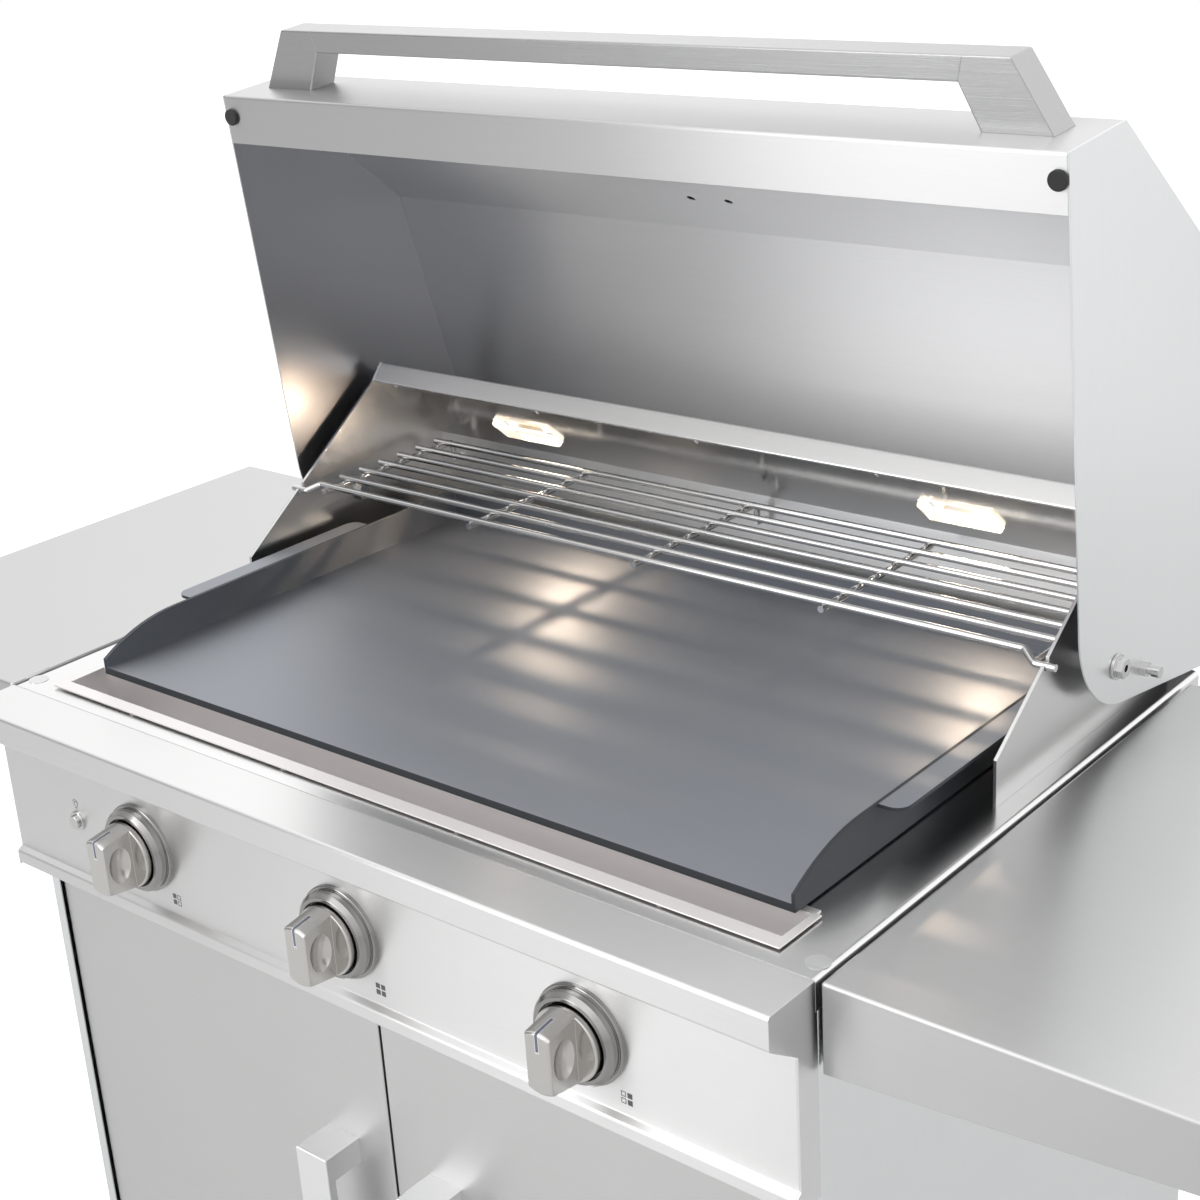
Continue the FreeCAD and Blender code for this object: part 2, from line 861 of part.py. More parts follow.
def cooling_fan():
    """An axial fan against the rear wall of the pan."""
    rear = pan_rear - thin_sheet
    front = rear - fan_depth
    z = pan_floor + fan_size / 2
    side = fan_size / 2
    case = box((-side, side), (front, rear), (pan_floor, pan_floor + fan_size))
    case = case.cut(rod(fan_bore_radius, (0, front, z), (0, rear, z)))
    spokes = [
        box((-fan_bore_radius - loose, fan_bore_radius + loose), (front, front + fan_plate),
            (z - fan_plate / 2, z + fan_plate / 2)),
        box((-fan_plate / 2, fan_plate / 2), (front, front + fan_plate),
            (z - fan_bore_radius - loose, z + fan_bore_radius + loose)),
        rod(fan_boss_radius, (0, front, z), (0, front + 2 * fan_plate, z)),
    ]
    case = joined([case] + spokes)
    seat = rod(fan_shaft_radius + running, (0, front, z), (0, front + 2 * fan_plate, z))
    keep("fan_housing", case.cut(seat))

    hub_front = front + 2 * fan_plate + loose
    hub_rear = rear - fan_plate
    hub = rod(fan_hub_radius, (0, hub_front, z), (0, hub_rear, z))
    shaft = rod(fan_shaft_radius, (0, front + loose, z), (0, hub_front, z))
    blades = []
    middle_y = (hub_front + hub_rear) / 2
    chord = hub_rear - hub_front - 2 * fan_tip_gap
    tip = fan_bore_radius - fan_tip_gap
    for index in range(fan_blades):
        blade = box(
            (-fan_blade_thick / 2, fan_blade_thick / 2), (-chord / 2, chord / 2),
            (fan_hub_radius - fan_plate, tip - fan_tip_gap),
        )
        blade.rotate(Vec(0, 0, 0), Vec(0, 0, 1), fan_blade_pitch)
        blade.rotate(Vec(0, 0, 0), Vec(0, 1, 0), index * 360 / fan_blades)
        blade.translate(Vec(0, middle_y, z))
        blades.append(blade)
    keep("fan_rotor", joined([hub, shaft] + blades))


# Knobs, bezels, encoders and the lamp button

def knobs():
    names = {-knob_pitch: "left_knob", 0: "middle_knob", knob_pitch: "right_knob"}
    bezels = []
    encoders = []
    z = top - knob_drop
    for x, name in names.items():
        outward = (0, -1, 0)
        foot = (x, fascia_front, z)
        bezels.append(turned(
            [
                (encoder_bush_radius + loose, 0),
                (bezel_radius, 0),
                (bezel_radius, bezel_flange, skirt_edge),
                (bezel_step_radius, bezel_flange),
                (bezel_step_radius, bezel_step, skirt_edge / 2),
                (bezel_lip_radius, bezel_depth, skirt_edge / 2),
                (bezel_bore_radius, bezel_depth),
                (bezel_bore_radius, bezel_floor),
                (encoder_bush_radius + loose, bezel_floor),
            ], foot, outward))
        encoders.append(encoder(x, z))
        keep(name, knob(x, z))
    keep("knob_bezels", *bezels)
    keep("encoder_bodies", *encoders)


def encoder(x, z):
    side = encoder_size / 2
    body = box((x - side, x + side), (fascia_back, fascia_back + encoder_depth), (z - side, z + side))
    bush_end = fascia_front - encoder_bush_reach
    bush = rod(encoder_bush_radius, (x, bush_end, z), (x, fascia_back, z))
    bore_end = fascia_back + encoder_depth - board_thick
    bore = rod(knob_shaft_radius + running, (x, bush_end, z), (x, bore_end, z))
    return joined([body, bush]).cut(bore)


def knob(x, z):
    skirt_line = [
        (0, skirt_start),
        (skirt_radius, skirt_start),
        (skirt_radius, skirt_end, skirt_edge),
        (0, skirt_end),
    ]
    foot = (x, fascia_front, z)
    outward = (0, -1, 0)
    skirt = turned(skirt_line, foot, outward)
    grip_start = skirt_end - skirt_edge
    grip_line = [
        (0, grip_start),
        (grip_base_radius, grip_start),
        (grip_front_radius, knob_reach, 2 * grip_edge),
        (0, knob_reach),
    ]
    grip_y = (fascia_front - knob_reach, fascia_front - grip_start)
    grip_x = (x - grip_width / 2, x + grip_width / 2)
    bar = box(grip_x, grip_y, (z - skirt_radius, z + skirt_radius))
    upright = runs_along("z")
    bar = soften(bar, grip_edge, lambda edge: upright(edge) and edge.CenterOfMass.y < grip_y[0] + running)
    grip = turned(grip_line, foot, outward).common(bar)
    scoops = []
    for side in (-1, 1):
        reach = grip_width / 2 - scoop_depth + scoop_ring_radius + scoop_wire_radius
        centre = Vec(x + side * reach, sum(grip_y) / 2, z)
        scoops.append(Part.makeTorus(scoop_ring_radius, scoop_wire_radius, centre, Vec(*outward)))
    bore_end = fascia_back + encoder_depth - board_thick - loose
    shaft = rod(knob_shaft_radius, (x, fascia_front - skirt_start - skirt_edge, z), (x, bore_end, z))
    recess_end = fascia_front - encoder_bush_reach - loose
    recess = rod(encoder_bush_radius + loose, (x, recess_end, z), (x, fascia_front, z))
    body = joined([skirt, grip.cut(scoops)]).cut(recess)
    return joined([body, shaft])


def lamp_button():
    x = -button_offset
    z = top - button_drop
    ring_front = fascia_front - button_ring_thick
    cap_front = ring_front - button_proud
    cap_back = cap_front + button_length
    socket_end = cap_back + button_travel + loose + button_socket_wall
    ring = rod(button_ring_radius, (x, ring_front, z), (x, fascia_front, z))
    ring = soften(ring, button_ring_thick / 3, lambda edge: abs(edge.CenterOfMass.y - ring_front) < running)
    tube = rod(button_tube_radius, (x, fascia_front, z), (x, socket_end, z))
    bore = rod(button_radius + running, (x, ring_front, z), (x, socket_end - button_socket_wall, z))
    keep("button_housing", joined([ring, tube]).cut(bore))
    cap = rod(button_radius, (x, cap_front, z), (x, cap_back, z))
    cap = soften(cap, button_proud / 4, lambda edge: abs(edge.CenterOfMass.y - cap_front) < running)
    keep("light_button", cap)


# Firebox, light housing, lamps and rack

def housing_line():
    """Corner points of the light housing seen from the side, rear top first."""
    low = Vec(housing_front, top + housing_front_height, 0)
    crease = Vec(firebox_back, top + housing_crease_height, 0)
    way = (crease - low).normalize()
    lip = low + Vec(-way.y, way.x, 0) * housing_lip
    along = (firebox_back - lip.x) / way.x
    rear = lip + way * along
    return rear, lip, low, crease, way


def firebox_edge(y):
    """Height of the slanted front edge of a firebox side."""
    share = (y - firebox_front) / (housing_front - firebox_front)
    return top + firebox_front_height + share * (housing_front_height - firebox_front_height)


def firebox():
    rear, lip, low, crease, way = housing_line()
    tail = firebox_back + firebox_tail
    side = [
        (firebox_front, top),
        (tail, top),
        (tail, rear.y),
        (rear.x, rear.y),
        (lip.x, lip.y),
        (low.x, low.y),
        (firebox_front, top + firebox_front_height),
    ]
    plate = prism(side, "yz", firebox_inner_half, firebox_half)
    notch_half = wire_radius + notch_play
    notch_y = (dip_y - notch_half, dip_y + notch_half)
    notch_z = (dip_z - notch_half, firebox_edge(dip_y) + 2 * notch_half)
    notch = box((firebox_inner_half, firebox_half), notch_y, notch_z)
    pivot_hole = rod(pivot_radius, (firebox_inner_half, hinge_y, hinge_z), (firebox_half, hinge_y, hinge_z))
    plate = plate.cut([notch, pivot_hole])
    stud = open_place(stud_y, top + stud_height)
    stop_top = stud[1] - stud_radius - loose
    lug_x = (firebox_half, hood_inner_half - stud_inner + stop_width / 2)
    lug = box(lug_x, (stud[0] - stop_width / 2, stud[0] + stop_width / 2), (stop_top - stop_thick, stop_top))
    right = joined([plate, lug])
    keep("firebox_right_side", right)
    keep("firebox_left_side", mirrored(right))

    across = (-firebox_inner_half, firebox_inner_half)
    back = box(across, (firebox_back, firebox_back + sheet), (top, rear.y))
    peg_z = rack_cross_z - rack_hook_drop - loose - peg_radius
    pegs = []
    for step in (-2, 0, 2):
        x = rack_shift + step * rack_cross_pitch
        peg_end = (x, firebox_back + sheet / 2, peg_z)
        pegs.append(rod(peg_radius, (x, rack_hook_y - peg_reach, peg_z), peg_end))
    keep("firebox_back", joined([back] + pegs))
    light_housing(rear, lip, low, crease, way)


def light_housing(rear, lip, low, crease, way):
    line = [(spot.x, spot.y) for spot in (rear, lip, low, crease)]
    channel = prism(folded(line, thin_sheet, bend / 2), "yz", -firebox_inner_half, firebox_inner_half)
    channel = channel.common(box(
        (-firebox_inner_half, firebox_inner_half), (low.x - housing_lip, firebox_back),
        (crease.y - housing_lip, lip.y + housing_lip)))
    tilt = math.degrees(math.atan2(way.y, way.x))
    inward = Vec(-way.y, way.x, 0)
    middle = low + way * lamp_setback
    room = housing_lip - 2 * thin_sheet - lens_thick

    def on_panel(solid, x):
        solid.rotate(Vec(0, 0, 0), Vec(1, 0, 0), tilt)
        solid.translate(Vec(x, middle.x, middle.y))
        return solid

    windows = []
    lenses = []
    bulbs = []
    for x in (-lamp_offset, lamp_offset):
        wide = (-lamp_width / 2, lamp_width / 2)
        tall = (-lamp_height / 2, lamp_height / 2)
        window = box(wide, tall, (-thin_sheet, 2 * thin_sheet))
        windows.append(on_panel(window, x))
        flange = box(
            (wide[0] - lens_lap, wide[1] + lens_lap),
            (tall[0] - lens_lap, tall[1] + lens_lap),
            (thin_sheet, thin_sheet + lens_thick))
        bowl = box(
            (wide[0] + loose, wide[1] - loose),
            (tall[0] + loose, tall[1] - loose),
            (-lens_proud, thin_sheet))
        bowl = soften(bowl, lens_edge, lambda edge: edge.CenterOfMass.z < thin_sheet - running)
        hollow = box(
            (wide[0] + lens_wall, wide[1] - lens_wall),
            (tall[0] + lens_wall, tall[1] - lens_wall),
            (lens_wall - lens_proud, thin_sheet + lens_thick))
        lenses.append(on_panel(joined([flange, bowl]).cut(hollow), x))
        bulb_z = thin_sheet + lens_thick + room / 2
        tube = rod(bulb_radius, (-bulb_length / 2, 0, bulb_z), (bulb_length / 2, 0, bulb_z))
        blocks = []
        for side in (-1, 1):
            block_x = side * bulb_length / 2
            blocks.append(box(
                (block_x - bulb_block / 2, block_x + bulb_block / 2), (-bulb_radius, bulb_radius),
                (thin_sheet + lens_thick, thin_sheet + lens_thick + room)))
        bulbs.append(on_panel(joined([tube] + blocks), x))
    keep("light_housing", channel.cut(windows))
    keep("lamp_lenses", *lenses)
    keep("lamp_bulbs", *bulbs)


def warming_rack():
    """Long wires on cross wires; the front wire dips into the firebox notches."""
    dip = math.hypot(rack_dip_reach, rack_dip_drop)
    start = firebox_inner_half - rack_dip_start
    end = start + rack_dip_run
    tip = firebox_half + rack_arm
    front_line = [
        (-tip, dip),
        (-end, dip, rack_bend_radius),
        (-start, 0, rack_bend_radius),
        (start, 0, rack_bend_radius),
        (end, dip, rack_bend_radius),
        (tip, dip),
    ]

    def front_place(spot):
        share = spot.y / dip
        return Vec(spot.x, rack_front - rack_dip_reach * share, rack_z - rack_dip_drop * share)

    pieces = [bent_rod(wire_radius, front_line, front_place)]
    for index in range(1, rack_wires):
        y = rack_front + index * rack_pitch
        wire_end = (rack_shift + rack_half, y, rack_z)
        pieces.append(rod(wire_radius, (rack_shift - rack_half, y, rack_z), wire_end))
    cross_start = rack_front - rack_cross_reach
    hook_line = [
        (cross_start, rack_cross_z),
        (rack_hook_y, rack_cross_z, rack_bend_radius),
        (rack_hook_y, rack_cross_z - rack_hook_drop),
    ]
    for step in range(-2, 3):
        x = rack_shift + step * rack_cross_pitch
        if step % 2:
            cross_end = (x, rack_rear + rack_cross_reach, rack_cross_z)
            pieces.append(rod(wire_radius, (x, cross_start, rack_cross_z), cross_end))
        else:
            pieces.append(bent_rod(wire_radius, hook_line, lambda spot: Vec(x, spot.x, spot.y)))
    keep("warming_rack", joined(pieces))


# Hood, drawn shut; every piece of it is then swung open about the hinge

def open_place(y, z):
    """Where a point of the shut hood lies when the hood is open."""
    angle = math.radians(-hood_open_angle)
    dy, dz = y - hinge_y, z - hinge_z
    return (
        hinge_y + dy * math.cos(angle) - dz * math.sin(angle),
        hinge_z + dy * math.sin(angle) + dz * math.cos(angle),
    )


def swung(*shapes):
    for shape in shapes:
        shape.rotate(Vec(0, hinge_y, hinge_z), Vec(1, 0, 0), -hood_open_angle)
    return shapes


def hood():
    front_top = top + hood_gap + hood_front_height
    fold_z = top + hood_fold_height
    slope = math.tan(math.radians(hood_top_slope))
    rear_z = fold_z + (hood_rear_y - hood_fold_y) * slope
    shut = [
        (hood_front_y, hood_bottom),
        (hood_front_y, front_top),
        (hood_fold_y, fold_z),
        (hood_rear_y, rear_z),
        (hood_foot_y, hood_bottom, hood_foot_radius),
    ]
    side = prism(shut, "yz", hood_inner_half, hood_half)
    through = (hood_inner_half, hood_half)
    holes = [
        rod(pivot_radius + running, (through[0], hinge_y, hinge_z), (through[1], hinge_y, hinge_z)),
        rod(stud_radius, (through[0], stud_y, top + stud_height), (through[1], stud_y, top + stud_height)),
    ]
    right, = swung(side.cut(holes))
    keep("hood_right_side", right)
    keep("hood_left_side", mirrored(right))

    rear_way = Vec(hood_foot_y - hood_rear_y, hood_bottom - rear_z, 0).normalize()
    tail = (hood_rear_y + rear_way.x * hood_rear_flange, rear_z + rear_way.y * hood_rear_flange)
    line = [
        tail,
        (hood_rear_y, rear_z),
        (hood_fold_y, fold_z),
        (hood_front_y, front_top),
        (hood_front_y, hood_bottom),
        (hood_front_y + hood_flange, hood_bottom),
    ]
    skin = prism(folded(line, thin_sheet, bend), "yz", -hood_inner_half, hood_inner_half)
    keep("hood_skin", *swung(skin))

    liner_end = hood_rear_y - liner_end_gap - liner_thick
    liner_end_z = top + liner_fold_height + (liner_end - liner_fold_y) * slope
    line = [
        (liner_end, liner_end_z),
        (liner_fold_y, top + liner_fold_height),
        (liner_front_y, top + liner_front_height),
        (liner_front_y, hood_bottom + thin_sheet),
    ]
    inner = prism(folded(line, -liner_thick, bend), "yz", -hood_inner_half, hood_inner_half)
    low = Vec(liner_front_y, top + liner_front_height, 0)
    way = (Vec(liner_fold_y, top + liner_fold_height, 0) - low).normalize()
    spot = low + way * liner_hole_setback
    out = Vec(-way.y, way.x, 0) * (3 * liner_thick)
    holes = []
    for x in (-liner_hole_spread, liner_hole_spread):
        start = (x, spot.x - out.x, spot.y - out.y)
        holes.append(rod(liner_hole_radius, start, (x, spot.x + out.x, spot.y + out.y)))
    keep("hood_liner", *swung(inner.cut(holes)))

    bumper_x = hood_half - bumper_inset
    pad_y = hood_front_y + bumper_setback
    pad = rod(bumper_radius, (bumper_x, pad_y, hood_bottom - bumper_height), (bumper_x, pad_y, hood_bottom))
    pad_low = hood_bottom - bumper_height
    pad = soften(pad, bumper_height / 3, lambda edge: abs(edge.CenterOfMass.z - pad_low) < running)
    right_pad, = swung(pad)
    keep("hood_bumpers", right_pad, mirrored(right_pad))
    hood_handle()
    hood_hinges()


def hood_handle():
    low = hood_bottom + handle_low
    high = low + handle_tall
    outer_y = hood_front_y - handle_reach
    inner_y = outer_y + handle_bar_thick
    mitre_half = handle_bar_half - handle_mitre
    bar_line = [
        (-handle_bar_half, outer_y),
        (handle_bar_half, outer_y),
        (mitre_half, inner_y),
        (-mitre_half, inner_y),
    ]
    bar = soften(prism(bar_line, "xy", low, high), handle_edge, runs_along("x"))
    post_line = [
        (handle_bar_half, outer_y),
        (handle_top_half, outer_y, 2 * handle_edge),
        (handle_base_outer, hood_front_y),
        (handle_base_inner, hood_front_y),
        (mitre_half, inner_y),
    ]
    post = prism(post_line, "xy", low, high)
    level = (low, high)

    def rim(edge):
        flat = any(abs(edge.CenterOfMass.z - z) < running for z in level)
        at_joint = edge.BoundBox.XMax <= handle_bar_half + running
        return flat and not at_joint and edge.CenterOfMass.y < hood_front_y - running

    post = soften(post, handle_edge, rim)
    bar, right = swung(bar, post)
    keep("hood_handle_bar", bar)
    keep("hood_handle_posts", right, mirrored(right))


def hood_hinges():
    """Bolts fixed to the firebox that the hood turns on, and the hood's stop studs."""
    nut_start = firebox_inner_half - pivot_nut_thick
    collar_end = hood_inner_half - loose
    head_start = hood_half + loose
    flange_end = head_start + pivot_flange_thick
    head_end = flange_end + pivot_hex_thick

    def along(radius, start, end):
        return rod(radius, (start, hinge_y, hinge_z), (end, hinge_y, hinge_z))

    bolt = joined([
        along(pivot_radius, nut_start, head_end),
        hexagon(pivot_hex, (hinge_y, hinge_z), nut_start, firebox_inner_half, "yz"),
        along(pivot_collar_radius, firebox_half, collar_end),
        along(pivot_flange_radius, head_start, flange_end),
        hexagon(pivot_hex, (hinge_y, hinge_z), flange_end, head_end, "yz"),
    ])
    bolt = bolt.cut(along(pivot_socket_radius, flange_end, head_end))
    keep("hood_pivots", bolt, mirrored(bolt))

    z = top + stud_height
    inner_end = hood_inner_half - stud_inner
    outer_end = hood_half + stud_outer
    stud = joined([
        rod(stud_radius, (inner_end, stud_y, z), (outer_end, stud_y, z)),
        rod(stud_tip_radius, (outer_end - stud_tip_length, stud_y, z), (outer_end, stud_y, z)),
        hexagon(stud_nut, (stud_y, z), hood_half, hood_half + stud_nut_thick, "yz"),
        hexagon(stud_nut, (stud_y, z), hood_inner_half - stud_nut_thick / 2, hood_inner_half, "yz"),
    ])
    right, = swung(stud)
    keep("hood_stop_studs", right, mirrored(right))


# Doors with their hinges and handles

def doors():
    left_x = (-half + cabinet_front_flange + door_side_gap, -door_middle_gap / 2)
    y = (door_front, door_front + door_thick)
    z = (door_bottom, door_top)
    pin_x = left_x[0] + hinge_pin_inset
    pin_y = door_front + hinge_pin_back
    slab = box(left_x, y, z)
    slab = soften(slab, door_edge, lambda edge: abs(edge.CenterOfMass.y - y[0]) < running)
    inside_x = (left_x[0] + door_skin, left_x[1] - door_skin)
    inside_z = (z[0] + door_skin, z[1] - door_skin)
    hollow = box(inside_x, (y[0] + door_skin, y[1]), inside_z)
    liner = box(inside_x, (y[1] - door_skin, y[1]), inside_z)
    blocks = []
    for low in (z[0], z[1] - door_block):
        blocks.append(box((left_x[0] + door_skin / 2, left_x[0] + door_block), (y[0] + door_skin / 2, y[1]),
                          (low + door_skin / 2, low + door_block - door_skin / 2)))
    bore_radius = hinge_pin_radius + running
    bore_depth = hinge_pin_length + loose
    bores = [
        rod(bore_radius, (pin_x, pin_y, z[0]), (pin_x, pin_y, z[0] + bore_depth)),
        rod(bore_radius, (pin_x, pin_y, z[1] - bore_depth), (pin_x, pin_y, z[1])),
    ]
    left = joined([slab.cut(hollow), liner] + blocks).cut(bores)
    keep("left_door", left)
    keep("right_door", mirrored(left))

    leaf_x = (-inner_half, pin_x + hinge_leaf_half)
    leaf_y = (cabinet_front + sheet + bend, pin_y + hinge_leaf_half)
    hinges = []
    for plate_z, pin_z in (
        ((z[1] + loose, z[1] + loose + hinge_leaf), (z[1] - hinge_pin_length, z[1] + loose)),
        ((z[0] - loose - hinge_leaf, z[0] - loose), (z[0] - loose, z[0] + hinge_pin_length)),
    ):
        plate = box(leaf_x, leaf_y, plate_z)
        pin = rod(hinge_pin_radius, (pin_x, pin_y, pin_z[0]), (pin_x, pin_y, pin_z[1]))
        hinges.append(joined([plate, pin]))
    keep("door_hinges", *(hinges + [mirrored(hinge) for hinge in hinges]))

    door_handle(y[0])


def door_handle(door_face):
    x = (-door_handle_offset - door_handle_width / 2, -door_handle_offset + door_handle_width / 2)
    high = door_top - door_handle_drop
    low = high - door_handle_length
    post_y = (door_face - door_handle_post, door_face)
    bar_y = (post_y[0] - door_handle_bar, post_y[0])
    bar = box(x, bar_y, (low, high))
    bar = soften(bar, door_handle_edge, lambda edge: edge.CenterOfMass.y < bar_y[1] - running)
    pieces = [bar]
    for base in (low, high - door_handle_post_tall):
        post = box(x, post_y, (base, base + door_handle_post_tall))
        pieces.append(soften(post, door_handle_edge / 2, runs_along("y")))
    keep("left_door_handle", *pieces)
    keep("right_door_handle", *[mirrored(piece) for piece in pieces])


# Folding side shelves on their brackets

def bracket_places():
    return (shelf_front + bracket_inset, shelf_front + shelf_depth - bracket_inset)


def along_pivot(radius, y):
    """A round bar on the right shelf's folding axis."""
    return rod(radius, (shelf_pivot_x, y[0], shelf_pivot_z), (shelf_pivot_x, y[1], shelf_pivot_z))


def shelves():
    x = (shelf_inner, shelf_outer)
    y = (shelf_front, shelf_front + shelf_depth)
    z = (shelf_bottom, shelf_top)
    side_view = [(x[0], z[0]), (x[0], z[1]), (x[1], z[1]), (x[1], z[1] - shelf_outer_apron)]
    upright = runs_along("z")
    block = prism(side_view, "xz", *y)
    block = soften(block, shelf_edge, lambda edge: upright(edge) or edge.CenterOfMass.z > z[1] - running)
    tray = block.cut(box(
        (x[0] + sheet, x[1] - sheet), (y[0] + sheet, y[1] - sheet), (z[0], z[1] - sheet)
    ))
    slots = []
    gussets = []
    for middle in bracket_places():
        slot_y = (middle - bracket_thick / 2 - slot_play, middle + bracket_thick / 2 + slot_play)
        slot_top = shelf_pivot_z + bracket_half + slot_head
        slots.append(box((x[0] - loose, x[0] + sheet + loose), slot_y, (z[0], slot_top)))
        inward = 1 if middle < sum(y) / 2 else -1
        near = middle + inward * (bracket_thick / 2 + loose)
        far = near + inward * gusset_thick
        span = (min(near, far), max(near, far))
        gusset = box((x[0] + sheet, x[0] + gusset_width), span, (z[0], z[1] - sheet))
        hole = along_pivot(shelf_pin_radius + running, span)
        gussets.append(gusset.cut(hole))
    right = joined([tray.cut(slots)] + gussets)
    keep("right_shelf", right)
    keep("left_shelf", mirrored(right))

    brackets = []
    for middle in bracket_places():
        across = (middle - bracket_thick / 2, middle + bracket_thick / 2)
        link_z = (shelf_pivot_z - bracket_half, shelf_pivot_z + bracket_half)
        link = box((half, shelf_pivot_x), across, link_z)
        ear = along_pivot(bracket_half, across)
        wall_y = (middle - bracket_wall_width / 2, middle + bracket_wall_width / 2)
        wall_z = (link_z[0], link_z[0] + bracket_wall_height)
        wall = box((half, half + bracket_wall_thick), wall_y, wall_z)
        inward = 1 if middle < shelf_front + shelf_depth / 2 else -1
        pin_start = middle - inward * bracket_thick / 2
        pin_end = middle + inward * (bracket_thick / 2 + 2 * loose + gusset_thick)
        pin = along_pivot(shelf_pin_radius, (pin_start, pin_end))
        brackets.append(joined([link, ear, wall, pin]))
    keep("shelf_brackets", *(brackets + [mirrored(bracket) for bracket in brackets]))


# Casters

def casters():
    plates = []
    front = cabinet_front + sheet + caster_inset
    rear = cabinet_rear - sheet - caster_inset
    side = inner_half - caster_inset
    for place, x, y in (
        ("front_left", -side, front), ("front_right", side, front),
        ("rear_left", -side, rear), ("rear_right", side, rear),
    ):
        low = caster_height - caster_plate_thick
        reach = caster_plate / 2
        plate = box((x - reach, x + reach), (y - reach, y + reach), (low, caster_height))
        plates.append(plate.cut(rod(king_pin_radius + running, (x, y, low), (x, y, caster_height))))
        keep(place + "_fork", fork(x, y, low - loose))
        keep(place + "_wheel", wheel(x, y + fork_trail))
    keep("caster_plates", *plates)


def fork(x, y, head_top):
    head_low = head_top - fork_head_thick
    axle_y = y + fork_trail
    inner = wheel_width / 2 + fork_play
    head = rod(fork_head_radius, (x, y, head_low), (x, y, head_top))
    king_pin = rod(king_pin_radius, (x, y, head_low), (x, y, head_top + king_pin_length))
    bridge = box((x - inner - fork_thick, x + inner + fork_thick), (y, axle_y + 2 * axle_radius),
                 (head_low, head_low + fork_thick))
    leg_line = [
        (y - fork_head_radius / 2, head_low + fork_thick),
        (axle_y + 2 * axle_radius, head_low + fork_thick),
        (axle_y + 2 * axle_radius, wheel_radius - 2 * axle_radius, axle_radius),
        (axle_y - 2 * axle_radius, wheel_radius - 2 * axle_radius, axle_radius),
    ]
    leg = prism(leg_line, "yz", x + inner, x + inner + fork_thick)
    other = prism(leg_line, "yz", x - inner - fork_thick, x - inner)
    reach = inner + fork_thick + axle_radius / 2
    axle = rod(axle_radius, (x - reach, axle_y, wheel_radius), (x + reach, axle_y, wheel_radius))
    return joined([head, king_pin, bridge, leg, other, axle])


def wheel(x, y):
    side = wheel_width / 2
    bore = axle_radius + running
    line = [
        (bore, -side),
        (wheel_hub_radius, -side),
        (wheel_hub_radius, wheel_groove - side),
        (wheel_hub_radius + wheel_groove, wheel_groove - side),
        (wheel_hub_radius + wheel_groove, -side),
        (wheel_radius, -side, wheel_edge),
        (wheel_radius, side, wheel_edge),
        (wheel_hub_radius + wheel_groove, side),
        (wheel_hub_radius + wheel_groove, side - wheel_groove),
        (wheel_hub_radius, side - wheel_groove),
        (wheel_hub_radius, side),
        (bore, side),
    ]
    return turned(line, (x, y, wheel_radius), (1, 0, 0))


def build():
    cabinet()
    deck()
    front_nose()
    fascia()
    grease_tray()
    head_pan()
    griddle_plate()
    induction()
    cooling_fan()
    knobs()
    lamp_button()
    firebox()
    warming_rack()
    hood()
    doors()
    shelves()
    casters()


def export():
    """Moves the set over the origin and writes one file for each node."""
    os.makedirs("parts", exist_ok=True)
    whole = Part.makeCompound(list(parts.values())).optimalBoundingBox(False)
    shift = -(whole.YMin + whole.YMax) / 2
    for name, shape in parts.items():
        shape.translate(Vec(0, shift, 0))
        shape.exportStep("parts/" + name + ".step")
    print("nodes", len(parts), "shift along Y", round(shift, 4))
    print("size", round(whole.XLength, 2), round(whole.YLength, 2), round(whole.ZLength, 2))


build()
export()
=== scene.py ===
# %% [markdown]
# # An induction griddle on its cart
# The real thing is folded and welded from brushed stainless sheet, with a dark flat plate on top,
# an open hood with two small lamps, and a cart with two doors below.
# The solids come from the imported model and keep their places. This lesson gives them their finishes,
# adds the thin trim that a maker would print, stick or screw on, and sets up the studio.

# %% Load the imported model
import math
import bmesh
import bpy
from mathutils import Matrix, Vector


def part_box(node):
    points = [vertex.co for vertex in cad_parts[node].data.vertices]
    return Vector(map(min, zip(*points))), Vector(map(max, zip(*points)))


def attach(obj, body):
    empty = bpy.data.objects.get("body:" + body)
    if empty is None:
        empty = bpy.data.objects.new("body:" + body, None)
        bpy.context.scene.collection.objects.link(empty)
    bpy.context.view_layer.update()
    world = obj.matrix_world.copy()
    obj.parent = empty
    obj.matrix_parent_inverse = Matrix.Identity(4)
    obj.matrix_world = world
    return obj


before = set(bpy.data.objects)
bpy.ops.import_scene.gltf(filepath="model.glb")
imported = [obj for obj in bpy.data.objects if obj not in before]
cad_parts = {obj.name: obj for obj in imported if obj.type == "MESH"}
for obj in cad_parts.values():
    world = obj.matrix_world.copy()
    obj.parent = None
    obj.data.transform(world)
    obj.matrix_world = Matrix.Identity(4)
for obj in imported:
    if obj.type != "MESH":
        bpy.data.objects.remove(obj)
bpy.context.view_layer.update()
deck_low, deck_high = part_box("deck")

# %% [markdown]
# ## Where things are
# The maker measures from the middle of the deck's front seam, in millimetres: x to the right,
# y to the back and z up from the deck. One helper turns such a measure into a point of the scene.

# %% Points measured from the deck
SEAM_Y = deck_low[1]
TOP_Z = deck_high[2]


def at(x, y, z):
    return Vector((x / 1000.0, y / 1000.0 + SEAM_Y, z / 1000.0 + TOP_Z))


print("deck top at", round(TOP_Z, 4), "m, front seam at", round(SEAM_Y, 4), "m")

# %% [markdown]
# ## The camera
# The picture was taken from the front right, a little above the hood's hinge and looking down.
# A camera can be pointed by a target or by angles. Angles are used here, with the focal length in pixels
# and the picture's true middle, because these came out of matching the deck, fascia and hood edges.

